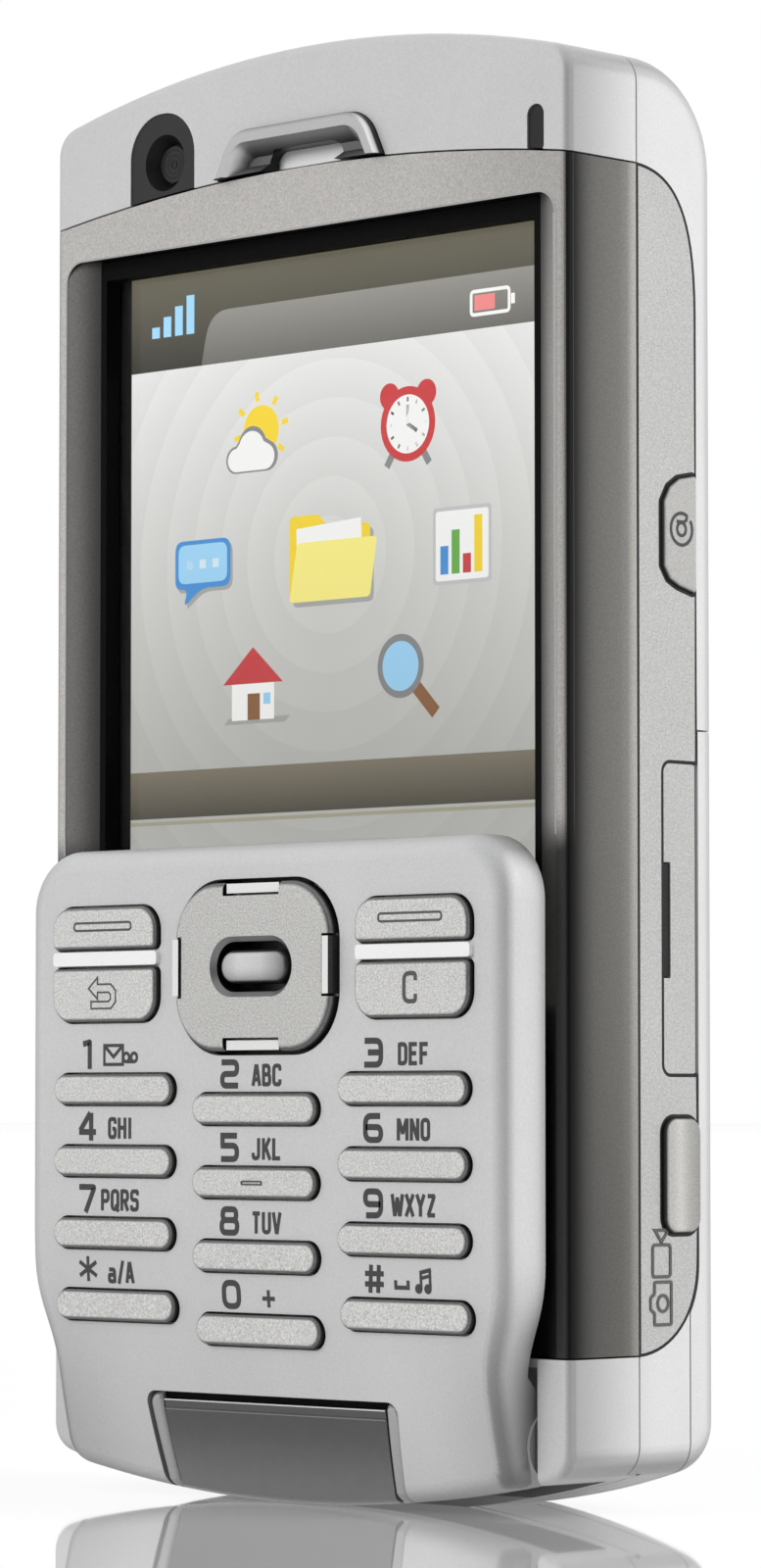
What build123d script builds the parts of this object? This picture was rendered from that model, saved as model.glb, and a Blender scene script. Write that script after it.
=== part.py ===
from build123d import *
import math
import os

os.makedirs("parts", exist_ok=True)

# Overall size in mm. The phone stands upright, screen towards -Y.
BODY_W = 57.0
BODY_H = 114.0
BODY_T = 25.0

# Main depth planes. Depths are counted from the bezel plane to the back.
TAB_RISE = 0.9
FLIP_RISE = 4.6
FLIP_FACE_Y = TAB_RISE - BODY_T / 2
BEZEL_Y = FLIP_FACE_Y + FLIP_RISE
BACK_Y = BODY_T / 2
SEAM_Y = BEZEL_Y + 7.7
COVER_Y = BEZEL_Y + 13.4
PANEL_BACK_Y = BEZEL_Y + 14.4

# Clearances
SEAM = 0.14
KEY_GAP = 0.15
SEAT = 0.06
PIN_GAP = 0.05
MOVE_GAP = 0.3

# Body envelope
TOP_ARC_R = 110.0
BASE_ARC_R = 100.0
BASE_CUT = 0.7
CROWN_R = 162.0
TOP_BACK_R = 8.5
BASE_BACK_R = 4.0
SIDE_EDGE_R = 2.4
FRONT_EDGE_R = 0.8
WALL = 1.4
SIDE_WALL = 2.1
FRONT_WALL = 1.4

HALF = BODY_W / 2
WALL_IN = HALF - SIDE_WALL

# Seam below the top cap, and what sits in the cap above or below that seam
CAP_DROP = 9.64
CAP_SEAM_Z = BODY_H - CAP_DROP
CAP_SEAM_R = 190.0
EAR_HALF = 9.3
EAR_TOP_HALF = 7.5
EAR_TOP = CAP_SEAM_Z + 3.6
EAR_FOOT = CAP_SEAM_Z - 0.16
EAR_CORNER_R = 3.3
EAR_RIM = 1.1
EAR_RISE = 0.9
EAR_FLOOR = 0.7
EAR_SLOPE = 33.0
EAR_HOLE_W = 8.2
EAR_HOLE_TOP = CAP_SEAM_Z + 1.75
CAPSULE_Z = CAP_SEAM_Z + 2.64
SURROUND_W = 7.35
SURROUND_X = -EAR_HALF - 6.48
SURROUND_Z = CAP_SEAM_Z + 0.64
LENS_X = SURROUND_X + 0.2
LENS_Z = CAP_SEAM_Z + 2.14
LENS_R = 1.5
FUNNEL_R = 2.3
SENSOR_X = HALF - 3.3
SENSOR_Z = CAP_SEAM_Z - 0.16
POWER_X = -12.0
POWER_DEPTH = 4.3
POWER_RISE = 0.4

# Screen recess and screen stack
LIP_W = 1.35
LIP_DROP = 14.5
LIP_HALF = HALF - LIP_W
LIP_TOP = BODY_H - LIP_DROP
LIP_CORNER_R = 1.8
BEVEL_W = 2.7
BEVEL_IN = LIP_HALF - BEVEL_W
DECK_DEPTH = 1.35
DECK_T = 1.05
BORDER_SIDE = 0.65
BORDER_TOP = 1.6
BORDER_BASE = 1.3
SCREEN_HALF = BEVEL_IN - BORDER_SIDE
SCREEN_TOP = LIP_TOP - BORDER_TOP
SCREEN_BASE = 38.2
WINDOW_BASE = SCREEN_BASE - BORDER_BASE
GASKET_T = 1.4
GLASS_GAP = 0.15
GLASS_T = 0.6
LCD_T = 2.4

# Keyboard under the flip
BOARD_COLUMNS = 10
BOARD_KEY_SPACE = 0.9
BOARD_KEY_PITCH = (2 * BEVEL_IN - BOARD_KEY_SPACE) / BOARD_COLUMNS
BOARD_KEY_W = BOARD_KEY_PITCH - BOARD_KEY_SPACE
BOARD_KEY_H = 3.5
BOARD_ROW_PITCH = 5.0
BOARD_TOP_ROW = WINDOW_BASE - 3.9
BOARD_KEY_TOP = 0.3
MAT_T = 0.5

# Flip
FLIP_SIDE = 1.9
FLIP_HALF = HALF - FLIP_SIDE
FLIP_TOP = 51.1
FLIP_TOP_R = 5.0
FLIP_BACK_Y = BEZEL_Y - 0.6
FLIP_BEND_Z = 22.0
FLIP_BEND_R = 75.0
FLIP_EDGE_R = 1.7
FLIP_WALL = 1.0
FLIP_RIM = 1.3
FLIP_ARC_R = 120.0
FLIP_LOW_R = 2.5
FLIP_BASE = 0.05

# Hinge
HINGE_Y = BEZEL_Y + 2.2
HINGE_Z = 5.4
BARREL_R = HINGE_Z - FLIP_BASE
BARREL_GAP = 0.85
POCKET_R = BARREL_R + BARREL_GAP
CRADLE_T = 1.2
CRADLE_R = POCKET_R + CRADLE_T
CHIN_WEB = 0.4
CHIN_Z = HINGE_Z + POCKET_R + CHIN_WEB
KNUCKLE_W = 3.3
KNUCKLE_X = HALF - KNUCKLE_W
BARREL_HALF = KNUCKLE_X - MOVE_GAP
FLIP_LOW_HALF = BARREL_HALF - 0.2
FLIP_LOW_Z = CHIN_Z - 2.5
FLIP_WIDE_Z = FLIP_LOW_Z + 9.5
FLIP_BAY_Z = CHIN_Z - 0.2
PIN_R = 1.0
PIN_L = 6.4
PIN_OUT = HALF - 0.5
PIN_IN = PIN_OUT - PIN_L

# Keypad on the flip
KEY_SPACE = 2.27
KEY_MARGIN = 3.78
KEY_COLUMN = (FLIP_HALF - KEY_MARGIN + KEY_SPACE / 2) / 1.5
KEY_W = KEY_COLUMN - KEY_SPACE
KEY_H = 2.4
KEY_RISE = 0.6
KEY_EDGE_R = 0.4
KEY_TRAVEL = 0.35
KEY_DROP = 1.55
KEY_LOW_Z = 15.0
FLANGE = 0.45
FLANGE_T = 0.2
KEYPAD_Y = BEZEL_Y - 2.2
KEYPAD_T = 0.55
PLUNGE_Y = KEYPAD_Y - KEY_TRAVEL - PIN_GAP
INNER_Y = BEZEL_Y - 1.55

# Navigation pad, and the soft keys beside it
NAV_Z = FLIP_TOP - 9.6
NAV_HALF_X = 8.7
NAV_HALF_Z = 6.55
SOFT_IN = NAV_HALF_X + 2.3
SOFT_OUT = FLIP_HALF - 3.6
SOFT_TOP = NAV_Z + 5.0
SOFT_BASE = NAV_Z - 4.1
STRIP_H = 1.1
STRIP_LOW = NAV_Z + 0.35
STRIP_HIGH = STRIP_LOW + STRIP_H
KEY_ROW_COUNT = 4
KEY_TOP_Z = SOFT_BASE - 5.35
KEY_PITCH = (KEY_TOP_Z - KEY_LOW_Z) / (KEY_ROW_COUNT - 1)
KEY_ROWS = [KEY_TOP_Z - KEY_PITCH * row for row in range(KEY_ROW_COUNT)]
NAV_R = 4.6
NAV_RISE = 0.75
NAV_T = 1.2
NAV_AXIS_Y = BEZEL_Y - 3.9
GUIDE_AXIS_Y = BEZEL_Y - 2.65
NAV_GAP = 0.3
SELECT_W = 7.4
SELECT_H = 2.6
SELECT_HOLE_W = 8.3
SELECT_HOLE_H = 3.9
SELECT_BEVEL = 0.4

# Side panels
PANEL_T = 0.7
PANEL_TOP = BODY_H - 11.8
PANEL_BASE = CHIN_Z
SIDE_RISE = 0.5
WEB_RISE = 0.35

# Stylus
STYLUS_R = 1.3
STYLUS_X = 6.5 - HALF
STYLUS_Y = BEZEL_Y + 14.4
STYLUS_BASE = 22.0
SILO_R = STYLUS_R + 0.15
SILO_OUT_R = SILO_R + 0.5

# Memory card, its door and the shutter key
CARD_L = 31.0
CARD_W = 21.1
CARD_T = 1.6
CARD_GAP = 0.1
CARD_IN = 1.5
CARD_Z = 44.95
CARD_DEPTH = 11.65
DOOR_W = 3.8
DOOR_H = CARD_W + 2.4
DOOR_T = 0.8
DOOR_PIN_R = 0.25
SHUTTER_Z = 25.5

# Battery bay
COVER_TOP = BODY_H - 54.6
TRAY_Y = BEZEL_Y + 12.7
TRAY_T = 0.6
BATTERY_HALF = -STYLUS_X - SILO_OUT_R - 1.85
BATTERY_BASE = CHIN_Z + 5.0
BATTERY_TOP = COVER_TOP - 3.4
BATTERY_T = 3.3

# Rear camera, loudspeaker, jog dial, back key and vibration motor
CAMERA_Z = BODY_H - 22.0
CAMERA_X = -4.5
CAMERA_R = 3.5
LIGHT_X = 6.6
LIGHT_R = 1.9
SPEAKER_Z = BODY_H - 39.0
SPEAKER_R = 6.5
JOG_Z = BODY_H - 32.0
JOG_R = 4.8
AXLE_R = 0.8
SIDE_KEY_Z = BODY_H - 46.0
MOTOR_Z = COVER_TOP + 6.1
MOTOR_Y = BEZEL_Y + 15.4
MOTOR_R = 2.0
SHAFT_R = 0.4
WEIGHT_R = 2.2

# Cable connector
SOCKET_HALF = 9.5
SOCKET_H = 5.3

FAR = 80.0


def deep(depth):
    return BEZEL_Y + depth


def block(x0, x1, y0, y1, z0, z1):
    shape = Box(x1 - x0, y1 - y0, z1 - z0)
    return Pos((x0 + x1) / 2, (y0 + y1) / 2, (z0 + z1) / 2) * shape


def along_x(sketch, x0, x1):
    plane = Plane((x0, 0, 0), x_dir=(0, 1, 0), z_dir=(1, 0, 0))
    return extrude(plane * sketch, amount=x1 - x0, dir=(1, 0, 0))


def along_y(sketch, y0, y1):
    plane = Plane((0, y0, 0), x_dir=(1, 0, 0), z_dir=(0, -1, 0))
    return extrude(plane * sketch, amount=y1 - y0, dir=(0, 1, 0))


def along_z(sketch, z0, z1):
    return extrude(Plane((0, 0, z0)) * sketch, amount=z1 - z0, dir=(0, 0, 1))


def rod_x(radius, x0, x1, y, z):
    return Pos((x0 + x1) / 2, y, z) * Rot(0, 90, 0) * Cylinder(radius, x1 - x0)


def rod_y(radius, x, y0, y1, z):
    return Pos(x, (y0 + y1) / 2, z) * Rot(90, 0, 0) * Cylinder(radius, y1 - y0)


def rod_z(radius, x, y, z0, z1):
    return Pos(x, y, (z0 + z1) / 2) * Cylinder(radius, z1 - z0)


def mirrored(shape):
    return mirror(shape, about=Plane.YZ)


def polygon(points):
    return make_face(Polyline(*points, close=True))


def one(shape):
    solids = shape.solids()
    solids.sort(key=lambda solid: solid.volume, reverse=True)
    return solids[0]


def save(name, *shapes):
    solids = []
    for shape in shapes:
        solids.extend(shape.solids())
    body = solids[0]
    if len(solids) > 1:
        body = Compound(solids)
    export_step(body, "parts/" + name + ".step")


def softened(solid, face_axis, high, radius):
    faces = solid.faces().sort_by(face_axis)
    face = faces[-1] if high else faces[0]
    return solid.fillet(radius, face.outer_wire().edges())


# Body envelope: a crowned back, arched ends and rounded edges


def end_disc(radius, z):
    return rod_y(radius, 0, -FAR, FAR, z)


def envelope(side, end, front, back, rounded):
    y0 = BEZEL_Y + front
    y1 = BACK_Y - back
    half = BODY_W / 2 - side
    section = Pos(0, (y0 + y1) / 2) * Rectangle(2 * half, y1 - y0)
    section = section & Pos(0, BACK_Y - CROWN_R) * Circle(CROWN_R - back)
    body = along_z(section, -10, BODY_H + 10)
    body = body & end_disc(TOP_ARC_R - end, BODY_H - TOP_ARC_R)
    body = one(body & end_disc(BASE_ARC_R - end, BASE_ARC_R - BASE_CUT))
    for radius, order in ((TOP_BACK_R - end, -1), (BASE_BACK_R - end, 0)):
        edges = []
        for edge in body.edges():
            if abs(edge.center().X) < 0.5 and edge.center().Y > BACK_Y - 4:
                edges.append(edge)
        edges.sort(key=lambda edge: edge.center().Z)
        body = body.fillet(radius, [edges[order]])
    if rounded:
        edges = []
        for edge in body.edges():
            on_side = abs(edge.center().X) > half - 0.01
            if on_side and edge.center().Y > y0 + 0.01:
                edges.append(edge)
        body = body.fillet(SIDE_EDGE_R, edges)
        body = softened(body, Axis.Y, False, FRONT_EDGE_R)
    return one(body & block(-FAR, FAR, -FAR, FAR, end, 2 * FAR))


OUTSIDE = envelope(0, 0, 0, 0, True)
INSIDE = envelope(SIDE_WALL, WALL, FRONT_WALL, WALL, False)
FRONT_HALF = block(-FAR, FAR, -FAR, SEAM_Y - SEAM / 2, -FAR, 2 * FAR)
REAR_HALF = block(-FAR, FAR, SEAM_Y + SEAM / 2, FAR, -FAR, 2 * FAR)


def below_cap(gap):
    return end_disc(CAP_SEAM_R + gap, CAP_SEAM_Z - CAP_SEAM_R)


# Side panel outline, seen from the side


def panel_outline(grow):
    front = SEAM_Y + SEAM / 2
    back = PANEL_BACK_Y + grow
    top = PANEL_TOP + grow
    base = PANEL_BASE - grow
    upper = Bezier((front, top), (front + 4.6, top - 0.3), (back, top - 3.6), (back, top - 11))
    rear = Line((back, top - 11), (back, base + 7))
    lower = Bezier((back, base + 7), (back, base + 2.6), (front + 3.4, base + 0.2), (front, base))
    edge = Line((front, base), (front, top))
    return make_face([upper, rear, lower, edge])


# The web key sits between the card door and the top of the panel.
DOOR_BASE = CARD_Z - DOOR_H / 2
DOOR_TOP = CARD_Z + DOOR_H / 2
WEB_Z = DOOR_TOP + 0.387 * (PANEL_TOP - DOOR_TOP)
WEB_KEY = ((10.4, -2.6), (10.4, 2.3), (11.1, 3.5), (12.2, 4.2), (14.25, 4.6),
           (14.25, -4.6), (12.2, -4.1), (11.1, -3.6))


def web_outline(grow):
    points = [(deep(depth), WEB_Z + rise) for depth, rise in WEB_KEY]
    return offset(fillet(polygon(points).vertices(), 0.3), grow)


def shutter_outline(grow):
    shape = Pos(deep(12.35), SHUTTER_Z) * RectangleRounded(4.0, 8.7, 1.2)
    return offset(shape, grow)


def door_outline(grow):
    shape = Pos(deep(12.5), CARD_Z) * RectangleRounded(DOOR_W, DOOR_H, 0.7)
    return offset(shape, grow)


DOOR_PIVOT_X = HALF - DOOR_T / 2
DOOR_PIVOT_Y = deep(14.0)


def door_room(x0):
    room = along_x(door_outline(KEY_GAP), x0, FAR)
    barrel = block(x0, FAR, DOOR_PIVOT_Y, DOOR_PIVOT_Y + DOOR_T / 2 + KEY_GAP,
                   DOOR_BASE - KEY_GAP, DOOR_TOP + KEY_GAP)
    return room + barrel


JOG_X = JOG_R - HALF - SIDE_RISE
JOG_Y0 = deep(9.3)
JOG_Y1 = deep(11.7)


def side_key_outline(grow):
    shape = Pos(deep(12.2), SIDE_KEY_Z) * RectangleRounded(3.8, 8.4, 1.4)
    return offset(shape, grow)


PANEL_IN = HALF - PANEL_T

PANEL_RIGHT = along_x(panel_outline(-SEAT), PANEL_IN, FAR) & OUTSIDE
for outline in (web_outline(KEY_GAP), shutter_outline(KEY_GAP)):
    PANEL_RIGHT = PANEL_RIGHT - along_x(outline, 0, FAR)
PANEL_RIGHT = PANEL_RIGHT - door_room(0)
DOOR_PIN = rod_z(DOOR_PIN_R + PIN_GAP, DOOR_PIVOT_X, DOOR_PIVOT_Y, DOOR_BASE - 0.8, DOOR_TOP + 0.8)
save("side_panel_right", one(PANEL_RIGHT - DOOR_PIN))

JOG_SLOT = block(-FAR, JOG_X + 1.7, JOG_Y0 - MOVE_GAP, JOG_Y1 + MOVE_GAP,
                 JOG_Z - JOG_R - 0.5, JOG_Z + JOG_R + 0.5)
PANEL_LEFT = mirrored(along_x(panel_outline(-SEAT), PANEL_IN, FAR) & OUTSIDE)
PANEL_LEFT = PANEL_LEFT - along_x(side_key_outline(KEY_GAP), -FAR, 0)
save("side_panel_left", one(PANEL_LEFT - JOG_SLOT))


# Keys and door of the right side


def side_key(outline, outside, flange_in):
    cap = one(along_x(outline(0), flange_in, outside))
    cap = softened(cap, Axis.X, True, 0.35)
    return one(cap + along_x(outline(FLANGE), flange_in, flange_in + 0.6))


FLANGE_IN = WALL_IN - 0.8
save("web_key", side_key(web_outline, HALF + WEB_RISE, FLANGE_IN))
save("shutter_key", side_key(shutter_outline, HALF + SIDE_RISE, FLANGE_IN))
save("side_back_key", mirrored(side_key(side_key_outline, HALF + WEB_RISE, FLANGE_IN)))

DOOR = along_x(door_outline(0), HALF - DOOR_T, HALF)
DOOR = DOOR - block(0, FAR, DOOR_PIVOT_Y, FAR, 0, FAR)
DOOR = DOOR + rod_z(DOOR_T / 2, DOOR_PIVOT_X, DOOR_PIVOT_Y, DOOR_BASE, DOOR_TOP)
DOOR = DOOR + rod_z(DOOR_PIN_R, DOOR_PIVOT_X, DOOR_PIVOT_Y, DOOR_BASE - 0.6, DOOR_TOP + 0.6)
DOOR = DOOR - block(HALF - 0.5, FAR, deep(10), deep(11.35), CARD_Z - 4.55, CARD_Z + 4.25)
save("card_door", one(DOOR))

# Rear housing: middle frame, battery tray, upper back

PANEL_SEAT = along_x(panel_outline(0), PANEL_IN - SEAT, FAR)
COVER_ZONE = block(-FAR, FAR, COVER_Y, FAR, -FAR, COVER_TOP)
PANEL_BACKING = along_x(panel_outline(0), WALL_IN, FAR)
PANEL_BACKING = PANEL_BACKING + mirrored(PANEL_BACKING)
COVER_GAP = along_x(panel_outline(SEAM), WALL_IN - SEAM, FAR)
COVER_GAP = COVER_GAP + mirrored(COVER_GAP)

SHELL = OUTSIDE - INSIDE
REAR = SHELL & REAR_HALF
REAR = REAR - (COVER_ZONE - PANEL_BACKING)
TRAY = block(-WALL_IN, WALL_IN, TRAY_Y, TRAY_Y + TRAY_T, CHIN_Z - 3.0, COVER_TOP + 1.2)
BAY_WALL = block(-WALL_IN, WALL_IN, TRAY_Y - 3.1, BACK_Y, COVER_TOP + SEAM, COVER_TOP + 1.3)
BAY_WALL = BAY_WALL & OUTSIDE
REAR = REAR + TRAY + BAY_WALL
SILO = rod_z(SILO_OUT_R, STYLUS_X, STYLUS_Y, STYLUS_BASE - 2.0, BODY_H)
REAR = REAR + (SILO & OUTSIDE)
REAR = REAR - rod_z(SILO_R, STYLUS_X, STYLUS_Y, STYLUS_BASE - 1.2, FAR + BODY_H)
REAR = REAR - PANEL_SEAT - mirrored(PANEL_SEAT)
REAR = REAR - JOG_SLOT
for y0, y1 in ((JOG_Y0 - 0.9, JOG_Y0 - 0.3), (JOG_Y1 + 0.3, JOG_Y1 + 0.9)):
    bracket = block(-WALL_IN - 0.1, JOG_X + 2.0, y0, y1, JOG_Z - 2, JOG_Z + 2)
    REAR = REAR + bracket
REAR = REAR - rod_y(AXLE_R + PIN_GAP, JOG_X, JOG_Y0 - 2, JOG_Y1 + 2, JOG_Z)
for outline in (web_outline, shutter_outline):
    REAR = REAR - along_x(outline(KEY_GAP), WALL_IN - 6.4, FAR)
    REAR = REAR - along_x(outline(FLANGE + KEY_GAP), FLANGE_IN - 0.7, WALL_IN - 0.05)
REAR = REAR - along_x(side_key_outline(KEY_GAP), -FAR, 6.4 - WALL_IN)
REAR = REAR - door_room(HALF - DOOR_T - KEY_GAP)


def card_room(x0, gap):
    half_t = CARD_T / 2 + gap
    half_w = CARD_W / 2 + gap
    return block(x0, FAR, deep(CARD_DEPTH) - half_t, deep(CARD_DEPTH) + half_t,
                 CARD_Z - half_w, CARD_Z + half_w)


CARD_X0 = HALF - CARD_IN - CARD_L
CARD_SLOT = card_room(CARD_X0 - 1.0, CARD_GAP)
REAR = REAR - CARD_SLOT

SOCKET_Y0 = deep(10.9)
SOCKET_Y1 = deep(13.0)
SOCKET_BASE = 0.3
CONNECTOR = block(-SOCKET_HALF, SOCKET_HALF, SOCKET_Y0, SOCKET_Y1, SOCKET_BASE, SOCKET_BASE + SOCKET_H)
REAR = REAR - block(-SOCKET_HALF - 0.1, SOCKET_HALF + 0.1, SOCKET_Y0 - 0.1, SOCKET_Y1 + 0.1,
                    -1, SOCKET_BASE + SOCKET_H + 0.4)


def camera_plate(grow):
    return Pos(0, CAMERA_Z) * RectangleRounded(25 + 2 * grow, 12 + 2 * grow, 5.9 + grow)


REAR = REAR - along_y(camera_plate(SEAT), BACK_Y - 3, FAR)
for count in range(5):
    slot = Pos(0, SPEAKER_Z + 2.0 * (count - 2)) * SlotOverall(10.0, 0.9)
    REAR = REAR - along_y(slot, BACK_Y - 3, FAR)

CRADLE_SWEEP = rod_x(CRADLE_R + SEAM, -KNUCKLE_X - 2, KNUCKLE_X + 2, HINGE_Y, HINGE_Z)
REAR = REAR - CRADLE_SWEEP
REAR = one(REAR)
save("rear_housing", REAR)

COVER = SHELL & block(-FAR, FAR, COVER_Y + SEAM, FAR, 0.1, COVER_TOP - SEAM)
COVER = one(COVER - COVER_GAP)
for count in range(5):
    rib = Pos(0, BACK_Y + 0.2, COVER_TOP - 9.4 - 1.6 * count) * Rot(0, 90, 0) * Cylinder(0.55, 13)
    COVER = COVER - rib
save("battery_cover", one(COVER))

# Front housings

CAP = (SHELL & FRONT_HALF) - below_cap(SEAM / 2)


def camera_surround(grow):
    arch = RectangleRounded(SURROUND_W + 2 * grow, 10.9 + 2 * grow, 3.5 + grow)
    return Pos(SURROUND_X, SURROUND_Z) * arch


def ear_outline(grow):
    base = EAR_FOOT - 1.2
    points = [(-EAR_HALF, base), (-EAR_HALF, EAR_FOOT), (-EAR_TOP_HALF, EAR_TOP),
              (EAR_TOP_HALF, EAR_TOP), (EAR_HALF, EAR_FOOT), (EAR_HALF, base)]
    shape = polygon(points)
    tops = [vertex for vertex in shape.vertices() if vertex.Y > EAR_TOP - 0.8]
    return offset(fillet(tops, EAR_CORNER_R), grow)


def sensor_outline(grow):
    return Pos(SENSOR_X, SENSOR_Z) * RectangleRounded(1.6 + 2 * grow, 3.8 + 2 * grow, 0.78 + grow)


for outline in (camera_surround(SEAT), ear_outline(SEAT), sensor_outline(SEAT)):
    CAP = CAP - along_y(outline, BEZEL_Y - 2, deep(FRONT_WALL + 0.5))


def power_outline(grow):
    return Pos(POWER_X, deep(POWER_DEPTH)) * SlotOverall(9.0 + 2 * grow, 2.6 + 2 * grow)


POWER_TOP = BODY_H - POWER_RISE
POWER_BASE = POWER_TOP - 3.0
CAP = CAP - along_z(power_outline(KEY_GAP), POWER_BASE - 0.6, FAR + BODY_H)
save("top_cap", one(CAP))

SURROUND = along_y(camera_surround(0), deep(0.12), deep(2.2)) - below_cap(SEAM)
FUNNEL = Pos(LENS_X, deep(0.7), LENS_Z) * Rot(90, 0, 0) * Cone(LENS_R + 0.1, FUNNEL_R, 1.2)
SURROUND = SURROUND - FUNNEL
SURROUND = SURROUND - rod_y(LENS_R + PIN_GAP, LENS_X, deep(1.2), deep(3), LENS_Z)
save("front_camera_surround", one(SURROUND))
LENS = rod_y(LENS_R, LENS_X, deep(1.5), deep(4.8), LENS_Z)
DOME = Pos(LENS_X, deep(3.9), LENS_Z) * Sphere(2.5)
save("front_camera_lens", one(LENS & DOME))

TRIM = one(along_y(ear_outline(0), deep(-EAR_RISE), deep(1.7)) - below_cap(SEAM))
TRIM_FRONT = TRIM.faces().sort_by(Axis.Y)[0]
TRIM_TOP = [edge for edge in TRIM_FRONT.edges() if edge.center().Z > CAP_SEAM_Z + 0.24]
TRIM = TRIM.fillet(0.55, TRIM_TOP)
EAR_FACE = Pos(0, deep(-EAR_RISE)) * Rot(90, 0, 0) * ear_outline(-EAR_RIM)
TRIM = TRIM - extrude(EAR_FACE, EAR_RISE + EAR_FLOOR, dir=(0, 1, 0), taper=EAR_SLOPE)
EAR_HOLE_H = EAR_HOLE_TOP - EAR_FOOT + 2.0
EAR_HOLE = Pos(0, EAR_HOLE_TOP - EAR_HOLE_H / 2) * RectangleRounded(EAR_HOLE_W, EAR_HOLE_H, 1.1)
TRIM = TRIM - along_y(EAR_HOLE, deep(-3), deep(3))
save("earpiece_trim", one(TRIM))
CAPSULE = along_y(Pos(0, CAPSULE_Z) * RectangleRounded(13, 4.4, 1.5), deep(1.85), deep(4.6))
save("earpiece_capsule", one(CAPSULE))
SENSOR = along_y(sensor_outline(0), deep(0.15), deep(1.6)) - below_cap(SEAM)
save("sensor_window", one(SENSOR))

POWER = one(along_z(power_outline(0), POWER_BASE, POWER_TOP))
POWER = softened(POWER, Axis.Z, True, 0.4)
POWER = POWER + along_z(power_outline(FLANGE), POWER_BASE, POWER_BASE + 0.5)
save("power_key", one(POWER))

# Bezel frame with the screen recess and the keyboard deck

FRAME = (OUTSIDE & FRONT_HALF) & below_cap(-SEAM / 2)
FRAME = FRAME & block(-FAR, FAR, -FAR, FAR, CHIN_Z + SEAM / 2, FAR * 2)
LIP = Pos(0, LIP_TOP / 2) * Rectangle(2 * LIP_HALF, LIP_TOP)
LIP_TOPS = [vertex for vertex in LIP.vertices() if vertex.Y > LIP_TOP - 1]
LIP = fillet(LIP_TOPS, LIP_CORNER_R)
DECK_Y = deep(DECK_DEPTH)
BEVEL = polygon([(-LIP_HALF, BEZEL_Y), (-LIP_HALF, BEZEL_Y - 1), (LIP_HALF, BEZEL_Y - 1),
                 (LIP_HALF, BEZEL_Y), (BEVEL_IN, DECK_Y), (-BEVEL_IN, DECK_Y)])
FRAME = FRAME - (along_z(BEVEL, 0, LIP_TOP) & along_y(LIP, BEZEL_Y - 1, DECK_Y))
WINDOW_Z = (WINDOW_BASE + LIP_TOP) / 2
WINDOW = Pos(0, WINDOW_Z) * Rectangle(2 * BEVEL_IN, LIP_TOP - WINDOW_BASE)
FRAME = FRAME - along_y(WINDOW, BEZEL_Y - 1, SEAM_Y)
DECK_BACK = DECK_Y + DECK_T
FRAME_IN = WALL_IN - 0.4
FRAME = FRAME - block(-FRAME_IN, FRAME_IN, DECK_BACK, FAR, CHIN_Z + WALL, LIP_TOP + 1.5)


def board_keys():
    places = []
    middle = (BOARD_COLUMNS - 1) / 2
    for row in range(4):
        for column in range(BOARD_COLUMNS):
            in_space = row == 3 and abs(column - middle) < 2
            if not in_space:
                z = BOARD_TOP_ROW - row * BOARD_ROW_PITCH
                places.append(((column - middle) * BOARD_KEY_PITCH, z, BOARD_KEY_W))
    places.append((0, BOARD_TOP_ROW - 3 * BOARD_ROW_PITCH, 3 * BOARD_KEY_PITCH + BOARD_KEY_W))
    return places


MAT_HALF = FRAME_IN - 0.4
MAT_Y = DECK_BACK + 0.02
MAT = block(-MAT_HALF, MAT_HALF, MAT_Y, MAT_Y + MAT_T, CHIN_Z + WALL + 0.4, WINDOW_BASE - 0.9)
for x, z, width in board_keys():
    FRAME = FRAME - along_y(Pos(x, z) * RectangleRounded(width + 0.3, BOARD_KEY_H + 0.3, 1.35),
                            BEZEL_Y, DECK_BACK + 1)
    key = one(along_y(Pos(x, z) * RectangleRounded(width, BOARD_KEY_H, 1.2),
                      deep(BOARD_KEY_TOP), DECK_BACK + 0.1))
    MAT = MAT + softened(key, Axis.Y, False, 0.4)
FRAME = FRAME - rod_x(POCKET_R, -KNUCKLE_X, KNUCKLE_X, HINGE_Y, HINGE_Z)
save("bezel_frame", one(FRAME))
save("keyboard_keys", one(MAT))

GASKET_BACK = DECK_Y + GASKET_T
GASKET = block(-BEVEL_IN + SEAT, BEVEL_IN - SEAT, DECK_Y, GASKET_BACK,
               WINDOW_BASE + SEAT, LIP_TOP - SEAT)
GASKET = GASKET - block(-SCREEN_HALF, SCREEN_HALF, -FAR, FAR, SCREEN_BASE, SCREEN_TOP)
save("screen_gasket", one(GASKET))
GLASS_Y = GASKET_BACK + 0.04
GLASS_HALF = BEVEL_IN - GLASS_GAP
GLASS = block(-GLASS_HALF, GLASS_HALF, GLASS_Y, GLASS_Y + GLASS_T,
              WINDOW_BASE + GLASS_GAP, LIP_TOP - GLASS_GAP)
save("touch_screen", GLASS)
LCD_Y = GLASS_Y + GLASS_T + 0.06
LCD_HALF = GLASS_HALF - GLASS_GAP
LCD = block(-LCD_HALF, LCD_HALF, LCD_Y, LCD_Y + LCD_T,
            WINDOW_BASE + 2 * GLASS_GAP, LIP_TOP - 2 * GLASS_GAP)
save("lcd_module", LCD)

# Chin with the hinge cradle

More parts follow.
